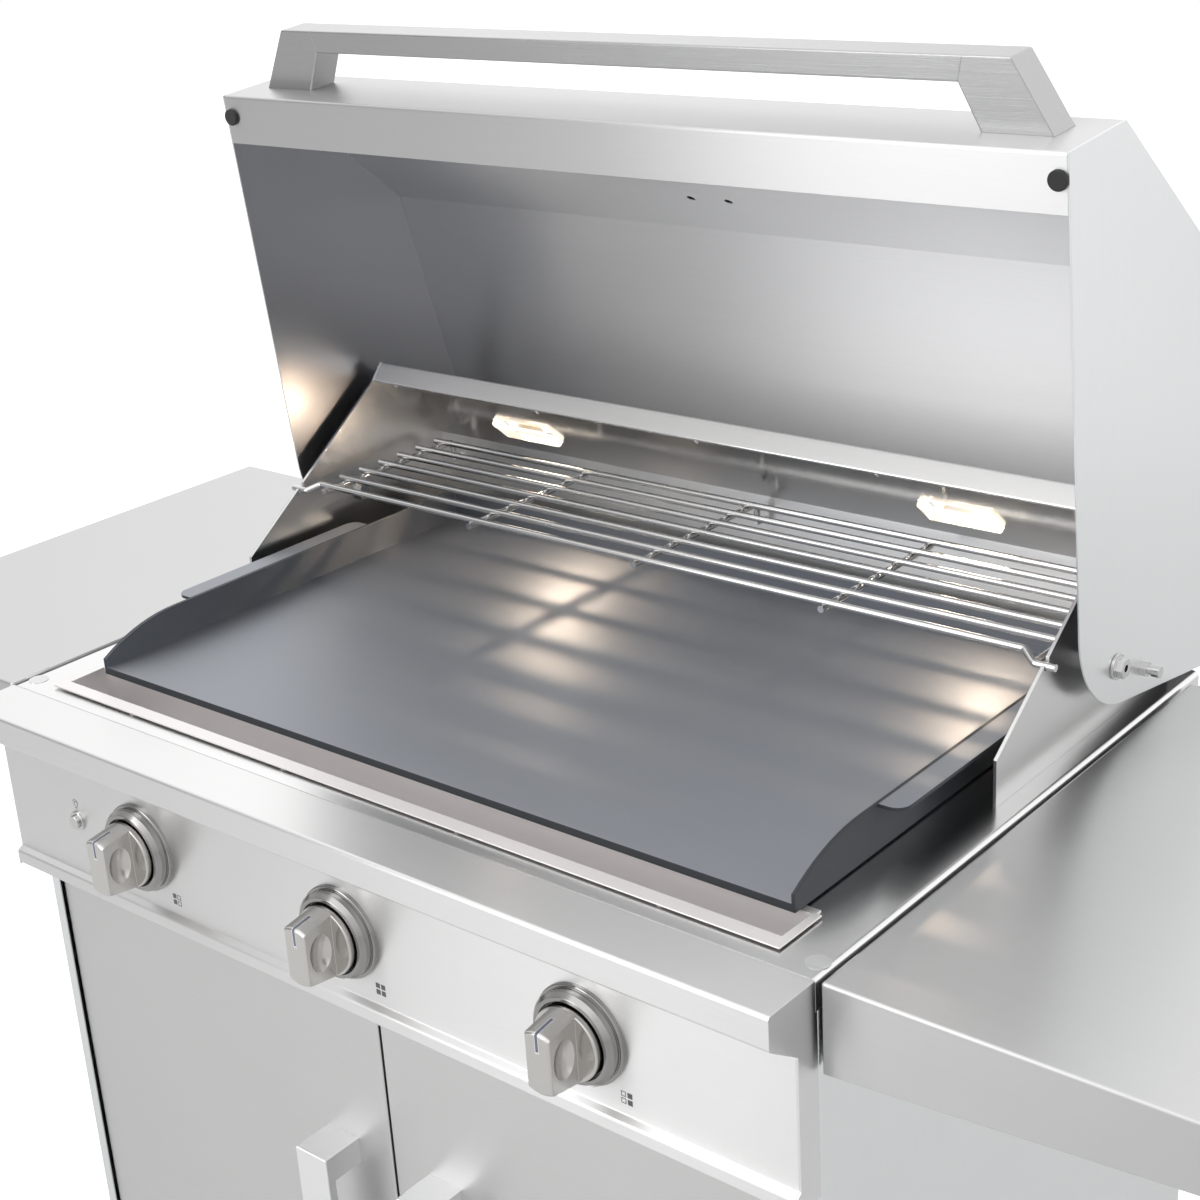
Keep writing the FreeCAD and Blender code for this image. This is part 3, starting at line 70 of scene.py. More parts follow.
# %% Camera at the picture's angle
IMAGE = 1200.0
FOCAL = 2042.19
MIDDLE = (586.88, 599.35)
CAMERA_PLACE = (1136.145, -986.425, 763.573)
CAMERA_TURN = (68.21744, 3.43849, 39.79208)
lens = bpy.data.cameras.new("picture_camera")
lens.sensor_width = 36.0
lens.lens = FOCAL / IMAGE * lens.sensor_width
lens.shift_x = (IMAGE / 2 - MIDDLE[0]) / IMAGE
lens.shift_y = (MIDDLE[1] - IMAGE / 2) / IMAGE
camera = bpy.data.objects.new("picture_camera", lens)
camera.location = at(*CAMERA_PLACE)
camera.rotation_euler = [math.radians(a) for a in CAMERA_TURN]
bpy.context.scene.collection.objects.link(camera)
bpy.context.scene.camera = camera
bpy.context.scene.view_settings.view_transform = "Standard"
print("lens", round(lens.lens, 2), "mm")

# %% [markdown]
# ## Arithmetic on sockets
# A finish is a small sum: grain plus smudges, one minus a mask. Node by node that is hard to read,
# so a socket is wrapped in a class whose operators add the Math nodes. Every other node
# comes from one method: its type, then its settings, then the values or links of its sockets.


# %% The socket class
class Wire:
    """One socket of a node tree. Plus, minus and times add Math nodes to its tree."""

    def __init__(self, socket):
        self.socket = socket

    def make(self, kind, settings=None, inputs=None, output=0):
        tree = self.socket.id_data
        node = tree.nodes.new(kind)
        for name, value in (settings or {}).items():
            setattr(node, name, value)
        for key, value in (inputs or {}).items():
            if isinstance(value, Wire):
                tree.links.new(value.socket, node.inputs[key])
            else:
                node.inputs[key].default_value = value
        return Wire(node.outputs[output])

    def sum(self, operation, first, second):
        return self.make("ShaderNodeMath", {"operation": operation}, {0: first, 1: second})

    def __add__(self, other):
        return self.sum("ADD", self, other)

    def __radd__(self, other):
        return self.sum("ADD", other, self)

    def __sub__(self, other):
        return self.sum("SUBTRACT", self, other)

    def __rsub__(self, other):
        return self.sum("SUBTRACT", other, self)

    def __mul__(self, other):
        return self.sum("MULTIPLY", self, other)

    def __rmul__(self, other):
        return self.sum("MULTIPLY", other, self)

    def greatest(self, other):
        return self.sum("MAXIMUM", self, other)

    def size(self):
        return self.sum("ABSOLUTE", self, 0.0)

    def axis(self, letter):
        return self.make("ShaderNodeSeparateXYZ", None, {0: self}, "XYZ".index(letter))

    def stretched(self, scale):
        return self.make("ShaderNodeVectorMath", {"operation": "MULTIPLY"}, {0: self, 1: scale})

    def noise(self, scale, detail=2.0, rough=0.5):
        sockets = {"Vector": self, "Scale": scale, "Detail": detail, "Roughness": rough}
        return self.make("ShaderNodeTexNoise", None, sockets)

    def between(self, low, high):
        sockets = {"Value": self, "From Min": low, "From Max": high}
        return self.make("ShaderNodeMapRange", {"clamp": True}, sockets)

    def tint(self, first, second):
        ends = [c if isinstance(c, Wire) else (*c, 1.0) for c in (first, second)]
        sockets = {0: self, 6: ends[0], 7: ends[1]}
        return self.make("ShaderNodeMix", {"data_type": "RGBA"}, sockets, 2)

    def bumped(self, strength, depth, edge=0.0):
        sockets = {"Strength": strength, "Distance": depth, "Height": self}
        if edge:
            sockets["Normal"] = self.make("ShaderNodeBevel", {"samples": 6}, {"Radius": edge})
        return self.make("ShaderNodeBump", None, sockets)


print("sockets can be added, multiplied and mixed")

# %% [markdown]
# ## Starting a finish and wearing it
# Every finish starts from a fresh material and the place of each point on its piece. Brushed metal also
# needs a direction for its stretched gloss. A mesh without a texture map takes it from its texture space,
# so that space is set the same way for all pieces.


# %% Helpers for finishes
def new_finish(name):
    material = bpy.data.materials.new(name)
    material.use_nodes = True
    shader = material.node_tree.nodes["Principled BSDF"]
    place = material.node_tree.nodes.new("ShaderNodeTexCoord").outputs["Object"]
    return material, shader, Wire(place)


def feed(shader, sockets):
    for name, value in sockets.items():
        if isinstance(value, Wire):
            shader.id_data.links.new(value.socket, shader.inputs[name])
        else:
            shader.inputs[name].default_value = value


def fed(material, name):
    """The shader of a finish, and what already feeds one of its sockets."""
    shader = material.node_tree.nodes["Principled BSDF"]
    return shader, Wire(shader.inputs[name].links[0].from_socket)


def combed(mesh):
    """Lays a mesh's tangents along x, so that brushed finishes stretch their gloss across x."""
    mesh.use_auto_texspace = False
    mesh.texspace_location = (0.0, 100.0, 0.0)
    mesh.texspace_size = (1.0, 1.0, 1.0)


def wear(names, material):
    """Gives a finish to the CAD pieces of these names."""
    for name in names:
        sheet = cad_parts[name].data
        sheet.materials.clear()
        sheet.materials.append(material)
        combed(sheet)
    print(material.name, "on", len(names), "pieces")


print("finish helpers ready")

# %% [markdown]
# ## Brushed stainless
# The sheet is drawn under an abrasive belt before it is folded, so it carries thousands of fine parallel
# scratches. They could be cut as geometry, but they are finer than a pixel. Noise that is squeezed across
# the belt's direction gives them to the colour, the roughness and a faint bump together, and the drag
# stretches reflections across them. A broad second noise is the uneven pressure of the belt and of wiping
# hands, and a Bevel node rounds the folded edges in the light.


# %% Brushed steel
GRAIN = {"X": (9.0, 2400.0, 2400.0), "Y": (2400.0, 9.0, 2400.0), "Z": (2400.0, 2400.0, 9.0)}
STEEL = (0.68, 0.68, 0.678)
COOL_STEEL = (0.77, 0.785, 0.79)
QUARTER_TURN = 0.25


def brushed_steel(name, along, tone, polish, edge=0.0006, scratch=0.2, drag=0.0):
    material, shader, place = new_finish(name)
    strokes = place.stretched(GRAIN[along]).noise(1.0, 3.0, 0.6)
    wiped = place.noise(5.5, 2.0, 0.45)
    dark = [0.93 * t for t in tone]
    pale = [min(1.0, 1.06 * t) for t in tone]
    feed(shader, {
        "Metallic": 1.0,
        "Base Color": (strokes * 0.75 + wiped * 0.25).tint(dark, pale),
        "Roughness": polish - 0.05 + strokes * 0.06 + wiped * 0.05,
        "Anisotropic": drag,
        "Anisotropic Rotation": QUARTER_TURN,
        "Normal": strokes.bumped(scratch, 0.0002, edge),
    })
    return material


# Sheets brushed along x: the finish, its tone, roughness, scratch and drag, and the pieces that wear it.
BRUSHED_ACROSS = (
    ("steel_brushed_deck", (0.73, 0.73, 0.728), 0.25, 0.03, 0.8, ["deck"]),
    ("steel_brushed_tops", (0.74, 0.74, 0.738), 0.31, 0.04, 0.85, ["front_nose"]),
    ("steel_dull_tray", (0.83, 0.805, 0.8), 0.5, 0.04, 0.6, ["grease_tray"]),
    ("steel_brushed_shelves", (0.58, 0.58, 0.58), 0.38, 0.03, 0.75, ["left_shelf", "right_shelf"]),
    ("steel_brushed_fronts", (0.75, 0.75, 0.748), 0.34, 0.05, 0.9, ["fascia", "firebox_back"]),
    ("steel_brushed_hood", (0.62, 0.62, 0.62), 0.34, 0.05, 0.9, ["hood_skin"]),
    # The liner's tone is set paler than the other sheets: painted light for its bright reflection.
    ("steel_liner_painted_light", (0.81, 0.81, 0.817), 0.44, 0.05, 1.0, ["hood_liner"]),
    ("steel_satin_doors", (0.61, 0.61, 0.608), 0.36, 0.1, 0.7, ["left_door", "right_door"]),
)
for finish, tone, polish, scratch, drag, names in BRUSHED_ACROSS:
    wear(names, brushed_steel(finish, "X", tone, polish, scratch=scratch, drag=drag))
wear(["cabinet_left_side", "cabinet_right_side"],
     brushed_steel("steel_brushed_upright", "Z", COOL_STEEL, 0.3, scratch=0.12))
wear(["firebox_left_side", "firebox_right_side"],
     brushed_steel("steel_brushed_front_to_back", "Y", STEEL, 0.24, scratch=0.4))

# %% [markdown]
# ## Canopy and hood sides
# Some sheets look different on their two faces. The lamp canopy is a mirror on its underside and brushed on
# the lip that looks up, and the way a face looks tells the two apart. The hood's sides are bright outside, and
# their inside faces are painted darker as painted shade. There a face is inside if it looks towards the hood's
# middle, so its direction and its place along x have opposite signs.

# %% Finishes with two faces
# The darker tone here is painted shade for the faces inside the hood.
INSIDE_SHADE_TONE = (0.47, 0.475, 0.5)
canopy_steel = brushed_steel("steel_polished_canopy", "X", (0.68, 0.675, 0.67), 0.13, scratch=0.05, drag=0.7)
shader, polish = fed(canopy_steel, "Roughness")
looks_up = polish.make("ShaderNodeNewGeometry", output="Normal").axis("Z").between(0.3, 0.7)
feed(shader, {"Roughness": polish + looks_up * 0.27})
wear(["light_housing"], canopy_steel)

hood_sides = brushed_steel("steel_upright_hood_sides", "Z", COOL_STEEL, 0.3, scratch=0.12)
shader, brushed_colour = fed(hood_sides, "Base Color")
sideways = brushed_colour.make("ShaderNodeNewGeometry", output="Normal").axis("X")
outward = brushed_colour.make("ShaderNodeTexCoord", output="Object").axis("X") * 2.0
# Faces inside the hood take the darker tone: painted shade.
inside = (sideways * outward * -1.0).between(0.3, 0.6)
feed(shader, {"Base Color": inside.tint(brushed_colour, INSIDE_SHADE_TONE)})
wear(["hood_left_side", "hood_right_side"], hood_sides)

# %% [markdown]
# ## The griddle plate
# The plate is thick carbon steel. Its floor is ground, blued and oiled, a satin mirror that drifts between
# blue-grey and brown-grey with faint streaks from rolling, which stretch its reflections. The faces that don't
# look up are painted darker, as painted shade. The outer walls and the narrow rim of the side walls are painted
# near black and dull, as a painted dark reflection.
# It is one solid, so masks made from the place of the walls and from which way a face looks mix the tones.

# %% Blued plate
BLUED, BROWNED = (0.295, 0.316, 0.355), (0.355, 0.367, 0.388)
# The wall tone is painted shade, and the near-black tone is a painted dark reflection for the outer walls.
SHADED_WALL_TONE = (0.19, 0.205, 0.23)
DARK_REFLECTION_TONE = (0.03, 0.036, 0.043)
WALL_X = 0.3970
WALL_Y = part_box("griddle_plate")[0][1] + 0.0006
MASK_STEP = 0.0003
RIM_STARTS = (0.3948, 0.3951)
RIM_ENDS = (0.3976, 0.3985)
plate_skin, shader, place = new_finish("plate_blued_steel")
drift = place.noise(4.0, 3.0, 0.5)
rolled = place.stretched((8.0, 160.0, 160.0)).noise(1.0, 3.0, 0.55)
pores = place.noise(900.0, 2.0, 0.6)
looks_up = place.make("ShaderNodeNewGeometry", output="Normal").axis("Z").between(0.3, 0.7)
front_wall = place.axis("Y").between(WALL_Y, WALL_Y - MASK_STEP)
reach = place.axis("X").size()
side_wall = reach.between(WALL_X, WALL_X + MASK_STEP)
rim = reach.between(*RIM_STARTS) * (1.0 - reach.between(*RIM_ENDS)) * looks_up
# Outer walls and side rims are painted near black and dull: a painted dark reflection.
painted_dark_walls = (side_wall.greatest(front_wall) * (1.0 - looks_up)).greatest(rim)
floor_tone = (drift * 0.7 + rolled * 0.3).tint(BLUED, BROWNED)
# Faces that don't look up take the darker wall tone: painted shade.
floor_and_shaded_walls = (1.0 - looks_up).tint(floor_tone, SHADED_WALL_TONE)
feed(shader, {
    "Base Color": painted_dark_walls.tint(floor_and_shaded_walls, DARK_REFLECTION_TONE),
    "Metallic": 0.92 - painted_dark_walls * 0.92,
    "Roughness": 0.45 + drift * 0.09 + rolled * 0.05,
    "Anisotropic": 0.65,
    "Anisotropic Rotation": QUARTER_TURN,
    "Normal": (rolled * 0.5 + pores * 0.5).bumped(0.05, 0.0004, 0.0008),
})
wear(["griddle_plate"], plate_skin)

# %% [markdown]
# ## Wires, bolts and knobs
# Drawn wire, bolts and turned bezels are polished bright. The knobs are cast and plated, then rubbed satin.
# They share the recipe of the sheets and differ in tone, polish and the direction of the finest lines.

# %% Polished wire, bolts, knobs and handles
wire_bright = brushed_steel("wire_polished", "X", (0.64, 0.635, 0.63), 0.12, 0.0, 0.02)
bolt_bright = brushed_steel("bolts_polished", "Z", (0.58, 0.575, 0.57), 0.13, 0.0006, 0.05)
bezel_dark = brushed_steel("bezels_turned", "Z", (0.33, 0.324, 0.32), 0.12, 0.0006, 0.05)
knob_satin = brushed_steel("knobs_satin_nickel", "Z", (0.58, 0.565, 0.545), 0.2, 0.0008, 0.15)
handle_brushed = brushed_steel("handle_brushed_bar", "X", (0.43, 0.43, 0.435), 0.26, 0.0008, 0.3)
handle_pale = brushed_steel("handle_pale_aluminium", "Z", (0.86, 0.86, 0.865), 0.36, 0.001, 0.15)
wear(["warming_rack"], wire_bright)
wear(["hood_pivots", "hood_stop_studs", "button_housing", "light_button"], bolt_bright)
wear(["knob_bezels"], bezel_dark)
wear(["left_knob", "middle_knob", "right_knob"], knob_satin)
wear(["hood_handle_bar", "hood_handle_posts"], handle_brushed)
wear(["left_door_handle", "right_door_handle"], handle_pale)

# %% [markdown]
# ## Sheet and mouldings of the cart
# Pieces that nobody polishes are left in zinc-coated sheet, whose crystals show as patches a few millimetres
# wide. A Voronoi texture gives each crystal its own shade. Paint, rubber and moulded plastic have a fine
# pebble instead, which comes from a dense noise.


# %% Zinc, paint, rubber and plastics
def zinc_sheet(name, tone):
    material, shader, place = new_finish(name)
    cells = place.make("ShaderNodeTexVoronoi", {"feature": "F1"}, {"Vector": place, "Scale": 130.0}, 1)
    shade = cells.make("ShaderNodeSeparateColor", None, {0: cells})
    cloud = place.noise(9.0, 2.0, 0.5)
    feed(shader, {
        "Metallic": 1.0,
        "Base Color": shade.tint([0.86 * t for t in tone], [1.08 * t for t in tone]),
        "Roughness": 0.36 + shade * 0.12 + cloud * 0.06,
        "Normal": shade.bumped(0.03, 0.0003, 0.001),
    })
    return material


def moulded(name, dark, pale, rough, scale=700.0, depth=0.06):
    material, shader, place = new_finish(name)
    pebbles = place.noise(scale, 2.0, 0.55)
    cloud = place.noise(12.0, 2.0, 0.5)
    feed(shader, {
        "Base Color": (pebbles * 0.4 + cloud * 0.6).tint(dark, pale),
        "Roughness": rough - 0.06 + pebbles * 0.07 + cloud * 0.06,
        "Normal": pebbles.bumped(depth, 0.0004, 0.0008),
    })
    return material


CORNERS = ("front_left", "front_right", "rear_left", "rear_right")
wear(["head_pan", "cabinet_back", "cabinet_floor", "cabinet_rails", "shelf_brackets", "door_hinges",
      "caster_plates"], zinc_sheet("zinc_coated_sheet", (0.55, 0.56, 0.57)))
wear([c + "_fork" for c in CORNERS], zinc_sheet("fork_zinc_plated", (0.6, 0.61, 0.62)))
wear([c + "_wheel" for c in CORNERS],
     moulded("tyre_grey_rubber", (0.025, 0.025, 0.027), (0.05, 0.05, 0.052), 0.6))
wear(["base_frame"], moulded("frame_grey_paint", (0.16, 0.165, 0.17), (0.22, 0.225, 0.23), 0.45))
wear(["hood_bumpers"], moulded("bumper_black_rubber", (0.012, 0.012, 0.013), (0.03, 0.03, 0.032), 0.55))
wear(["coil_carriers", "fan_housing", "fan_rotor", "encoder_bodies", "power_inlet"],
     moulded("plastic_moulded_black", (0.02, 0.02, 0.022), (0.04, 0.04, 0.043), 0.45))
wear(["circuit_boards"], moulded("board_green_laminate", (0.02, 0.1, 0.05), (0.04, 0.16, 0.08), 0.4, 300.0))
wear(["heat_sinks"], brushed_steel("sink_extruded_aluminium", "X", (0.75, 0.76, 0.77), 0.4))
wear(["induction_coils"], brushed_steel("coil_stranded_copper", "Z", (0.72, 0.36, 0.2), 0.35))

# %% [markdown]
# ## Glass
# The hob is black ceramic glass with a fine fleck. The lamp covers are pressed glass over halogen bulbs
# that are lit.

# %% Hob glass and lit lamps
hob_black, shader, place = new_finish("hob_black_glass")
fleck = place.noise(1500.0, 2.0, 0.6).between(0.62, 0.72)
feed(shader, {
    "Base Color": fleck.tint((0.008, 0.008, 0.009), (0.09, 0.09, 0.095)),
    "Roughness": 0.06 + place.noise(8.0) * 0.05,
    "Coat Weight": 0.5,
})
wear(["hob_glass"], hob_black)

bulb_lit, shader, place = new_finish("bulb_lit")
glow = place.noise(60.0, 2.0, 0.5)
feed(shader, {
    "Base Color": (1.0, 0.95, 0.88, 1.0),
    "Roughness": 0.2 + glow * 0.1,
    "Emission Color": glow.tint((1.0, 0.86, 0.66), (1.0, 0.96, 0.86)),
    "Emission Strength": 16.0,
})
wear(["lamp_bulbs"], bulb_lit)

cover_glass, shader, place = new_finish("lamp_pressed_glass")
ribs = place.stretched((260.0, 60.0, 60.0)).noise(1.0, 1.0, 0.4)
feed(shader, {
    "Base Color": ribs.tint((0.97, 0.95, 0.92), (1.0, 1.0, 1.0)),
    "Roughness": 0.04 + ribs * 0.08,
    "Transmission Weight": 1.0,
    "IOR": 1.45,
    # The covers' faint warm emission is a painted glow for the bulbs' light scattered in the glass.
    "Emission Color": ribs.between(0.35, 0.6).tint((1.0, 0.72, 0.45), (1.0, 0.95, 0.85)),
    "Emission Strength": 0.3,
    "Normal": ribs.bumped(0.35, 0.001),
})
wear(["lamp_lenses"], cover_glass)

# %% [markdown]
# ## Building thin trim
# The marks, films and screws are at most a few millimetres thick. Most are drawn as a flat outline and given
# their thickness along a direction, so each is a closed thin solid that lies on the sheet under it.


# %% Helpers for trim
def piece(name, shape, body, material):
    """Turns a bmesh into a piece that rides on a body."""
    bmesh.ops.recalc_face_normals(shape, faces=shape.faces)
    mesh = bpy.data.meshes.new(name)
    shape.to_mesh(mesh)
    shape.free()
    mesh.materials.append(material)
    made = bpy.data.objects.new(name, mesh)
    bpy.context.scene.collection.objects.link(made)
    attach(made, body)
    return made


def thick_outline(shape, points, raise_by):
    """A closed plate: an outline of points and the same outline moved by a vector."""
    lower = [shape.verts.new(p) for p in points]
    upper = [shape.verts.new(p + raise_by) for p in points]
    shape.faces.new(upper)
    shape.faces.new(list(reversed(lower)))
    for i, corner in enumerate(lower):
        follow = (i + 1) % len(lower)
        shape.faces.new((corner, lower[follow], upper[follow], upper[i]))


def round_points(middle, across, up, radius, count):
    turns = [2 * math.pi * i / count for i in range(count)]
    return [middle + (across * math.cos(t) + up * math.sin(t)) * radius for t in turns]


RIGHT = Vector((1.0, 0.0, 0.0))
BACK = Vector((0.0, 1.0, 0.0))
UP = Vector((0.0, 0.0, 1.0))
print("trim helpers ready")

# %% [markdown]
# ## Zone marks on the fascia
# Beside each knob a mark of four small squares tells which part of the plate it heats. The squares are
# printed, so they are plates a tenth of a millimetre thick. A zone that the knob doesn't heat is drawn as
# an outline.

# %% Printed zone marks
mark_ink = moulded("mark_grey_ink", (0.10, 0.10, 0.105), (0.15, 0.15, 0.155), 0.5, 1200.0, 0.03)
FASCIA_Y = -22.2
KNOB_X = {"left": -260.0, "middle": 0.0, "right": 260.0}
KNOB_Z = -105.0
MARK_BESIDE, MARK_BELOW = 40.7, 42.0
MARK_SIDE = 4.6
MARK_LINE = 0.55
MARK_PITCH = 6.2
HEATED = {"left": (-1,), "middle": (-1, 1), "right": (1,)}
INK = -BACK * 0.12 / 1000.0


def square(middle_x, middle_z, side):
    half = side / 2
    corners = ((-half, -half), (half, -half), (half, half), (-half, half))
    return [at(middle_x + a, FASCIA_Y, middle_z + b) for a, b in corners]


def print_square(shape, x, z, filled):
    outer = square(x, z, MARK_SIDE)
    if filled:
        thick_outline(shape, outer, INK)
        return
    inner = square(x, z, MARK_SIDE - 2 * MARK_LINE)
    for i in range(4):
        j = (i + 1) % 4
        thick_outline(shape, [outer[i], outer[j], inner[j], inner[i]], INK)


for side, x in KNOB_X.items():
    shape = bmesh.new()
    for column in (-1, 1):
        for row in (-1, 1):
            mark_x = x + MARK_BESIDE + column * MARK_PITCH / 2
            mark_z = KNOB_Z - MARK_BELOW + row * MARK_PITCH / 2
            print_square(shape, mark_x, mark_z, column in HEATED[side])
    piece("zone_mark_" + side, shape, "cart", mark_ink)
print("zone marks printed beside", len(KNOB_X), "knobs")

# %% [markdown]
# ## The lamp mark
# A mark above the push button tells that it switches the hood lamps. It is drawn as a bulb: a ring in two
# halves that is open at the bottom, two bars for the cap and five rays, all printed with the same ink.

# %% Printed lamp mark
LAMP_MARK = (-354.0, -88.5)
RING_OUTER, RING_INNER = 2.9, 2.3
RING_STARTS = (-60, 90)
HALF_RING = 150.0
RING_STEPS = 10
RAY_INNER, RAY_OUTER = 3.7, 5.1
CAP_BARS = ((3.4, 1.4), (4.5, 0.9))
BAR_HALF = 0.3


def mark_point(radius, degrees):
    turn = math.radians(degrees)
    return at(LAMP_MARK[0] + radius * math.cos(turn), FASCIA_Y, LAMP_MARK[1] + radius * math.sin(turn))


shape = bmesh.new()
for start in RING_STARTS:
    turns = [start + HALF_RING * i / RING_STEPS for i in range(RING_STEPS + 1)]
    outer = [mark_point(RING_OUTER, t) for t in turns]
    inner = [mark_point(RING_INNER, t) for t in reversed(turns)]
    thick_outline(shape, outer + inner, INK)
for turn in range(30, 151, 30):
    spots = ((RAY_INNER, -4), (RAY_OUTER, -3), (RAY_OUTER, 3), (RAY_INNER, 4))
    thick_outline(shape, [mark_point(radius, turn + lean) for radius, lean in spots], INK)
for drop, half in CAP_BARS:
    left, right = LAMP_MARK[0] - half, LAMP_MARK[0] + half
    low, high = LAMP_MARK[1] - drop - BAR_HALF, LAMP_MARK[1] - drop + BAR_HALF
    spots = ((left, low), (right, low), (right, high), (left, high))
    thick_outline(shape, [at(x, FASCIA_Y, z) for x, z in spots], INK)
piece("lamp_mark", shape, "cart", mark_ink)
print("lamp mark above the button")

# %% [markdown]
# ## Pointers on the knobs
# A groove runs along the top of each grip and turns down over its front. Its edges are cut bright and its
# floor is filled with blue-grey enamel, so two ribbons bent over the front edge lie on each other, a wide
# bright one and a narrow blue one. Both follow the slope of the grip.

# %% Pointer ribbons
pointer_enamel = moulded("pointer_blue_enamel", (0.13, 0.145, 0.21), (0.18, 0.195, 0.26), 0.35, 900.0, 0.03)
pointer_edge = brushed_steel("pointer_cut_edges", "Y", (0.93, 0.93, 0.93), 0.3, 0.0, 0.05)
KNOB_FRONT = -72.2
GRIP_FRONT_RADIUS = 26.5
GRIP_BASE_RADIUS = 31.0
SKIRT_END = -42.2
INWARD = Vector((0.0, 0.0006, -0.0006))
slope = (GRIP_BASE_RADIUS - GRIP_FRONT_RADIUS) / (SKIRT_END - KNOB_FRONT)


def grip_top(y):
    return GRIP_FRONT_RADIUS + (y - KNOB_FRONT) * slope


def pointer_ribbon(x, half, proud, low_end, far_end):
    line = [
        (KNOB_FRONT - proud, low_end),
        (KNOB_FRONT - proud, grip_top(KNOB_FRONT) - 1.5),
        (KNOB_FRONT + 0.3, grip_top(KNOB_FRONT) - 0.4 + proud),
        (KNOB_FRONT + 1.6, grip_top(KNOB_FRONT + 1.6) + proud),
        (KNOB_FRONT + far_end, grip_top(KNOB_FRONT + far_end) + proud),
    ]
    shape = bmesh.new()
    rows = []
    for y, z in line:
        pair = [at(x - half, y, KNOB_Z + z), at(x + half, y, KNOB_Z + z)]
        rows.append([shape.verts.new(p) for p in pair] + [shape.verts.new(p + INWARD) for p in pair])
    for before, after in zip(rows, rows[1:]):
        for i, j in ((0, 1), (3, 2), (2, 0), (1, 3)):
            shape.faces.new((before[i], before[j], after[j], after[i]))
    first, last = rows[0], rows[-1]
    shape.faces.new((first[0], first[2], first[3], first[1]))
    shape.faces.new((last[0], last[1], last[3], last[2]))
    return shape


for side, x in KNOB_X.items():
    ribbon = pointer_ribbon(x, half=1.9, proud=0.12, low_end=9.6, far_end=19.6)
    piece("knob_pointer_edge_" + side, ribbon, side + "_control", pointer_edge)
    ribbon = pointer_ribbon(x, half=1.3, proud=0.2, low_end=11.0, far_end=19.0)
    piece("knob_pointer_" + side, ribbon, side + "_control", pointer_enamel)
print("pointers on", len(KNOB_X), "knobs")

# %% [markdown]
# ## Landing films for the hood
# Two clear round films on the deck's front corners take the hood's bumpers. The steel shows through a clear
# film, only a little whiter. Plain white plastic would hide the brushing, so the film has the deck's own recipe
# in a paler tone and some Alpha.

# %% Landing films
FILM_X, FILM_Y = 446.0, 20.6
FILM_RADIUS = 0.0095
FILM_RISE = UP * 0.0003
film_clear = brushed_steel("film_clear", "X", (0.84, 0.84, 0.845), 0.33, 0.0, 0.03, 0.85)
shader, polish = fed(film_clear, "Roughness")
feed(shader, {"Alpha": 0.75 + polish.between(0.28, 0.4) * 0.15})
for side, x in (("left", -FILM_X), ("right", FILM_X)):
    shape = bmesh.new()
    thick_outline(shape, round_points(at(x, FILM_Y, 0.0), RIGHT, BACK, FILM_RADIUS, 40), FILM_RISE)
    combed(piece("landing_film_" + side, shape, "cart", film_clear).data)
print("films at both deck corners")

# %% [markdown]
# ## Hinge leaves of the shelves
# At the front of the gap between deck and shelf the end of a hinge leaf shows as a short bright strip. It is
# laid over the shelf's rounded inner edge, on both shelves and at both brackets, and folds down with the shelf.

# %% Hinge leaf strips
LEAF_INNER = (460.95, -1.9)
LEAF_OUTER = (463.0, -0.15)
LEAF_SPANS = ((17.0, 45.0), (535.0, 563.0))
LEAF_THICK = 0.00035
for side, sign in (("left", -1.0), ("right", 1.0)):
    shape = bmesh.new()
    for front, back in LEAF_SPANS:
        spots = ((LEAF_INNER, front), (LEAF_OUTER, front), (LEAF_OUTER, back), (LEAF_INNER, back))
        corners = [at(sign * x, y, z) for (x, z), y in spots]
        thick_outline(shape, corners, Vector((-sign * LEAF_THICK, 0.0, LEAF_THICK)))
    piece("hinge_leaf_" + side, shape, side + "_side_shelf", bolt_bright)
print("hinge leaves on both shelves")

# %% [markdown]
# ## Screws of the canopy
# Five pan-head screws hold the canopy's lip from below. Each is a small dome, made as rings that shrink
# towards the crown.

# %% Canopy screws
PANEL_FRONT = (482.0, 180.0)
PANEL_CREASE = (578.0, 97.0)
SCREW_PITCH = 200.8
SCREW_INSET = 0.0042
SCREW_RADIUS, SCREW_HEIGHT = 0.0028, 0.0017
SCREW_SIDES = 16
RING_LIFT = 24.0
run = Vector((PANEL_CREASE[0] - PANEL_FRONT[0], PANEL_CREASE[1] - PANEL_FRONT[1])).normalized()
facing = Vector((0.0, run[1], -run[0]))
along = Vector((0.0, run[0], run[1]))


def dome(shape, middle, axis, across, radius, height):
    up = axis.cross(across)
    rings = []
    for step in range(4):
        lift = math.radians(RING_LIFT * step)
        centre = middle + axis * height * math.sin(lift)
        spots = round_points(centre, across, up, radius * math.cos(lift), SCREW_SIDES)
        rings.append([shape.verts.new(p) for p in spots])
    for low, high in zip(rings, rings[1:]):
        for i in range(SCREW_SIDES):
            j = (i + 1) % SCREW_SIDES
            shape.faces.new((low[i], low[j], high[j], high[i]))
    shape.faces.new(rings[-1])
    shape.faces.new(list(reversed(rings[0])))


shape = bmesh.new()
for step in range(-2, 3):
    foot = at(step * SCREW_PITCH, *PANEL_FRONT) + along * SCREW_INSET
    dome(shape, foot, facing, RIGHT, SCREW_RADIUS, SCREW_HEIGHT)
piece("canopy_screws", shape, "cart", bolt_bright)
print("five canopy screws")

# %% [markdown]
# ## The world
# The picture is high-key: white all round, with broad soft light and almost no shadow edge. The world shows
# plain white to the camera and lights dull surfaces at a plain level. Mirrors and glass see a shaded sky in
# its place, because steel is only as lively as what it reflects: brightest well above the horizon and high in
# front, dimmer overhead and dark at the front left.

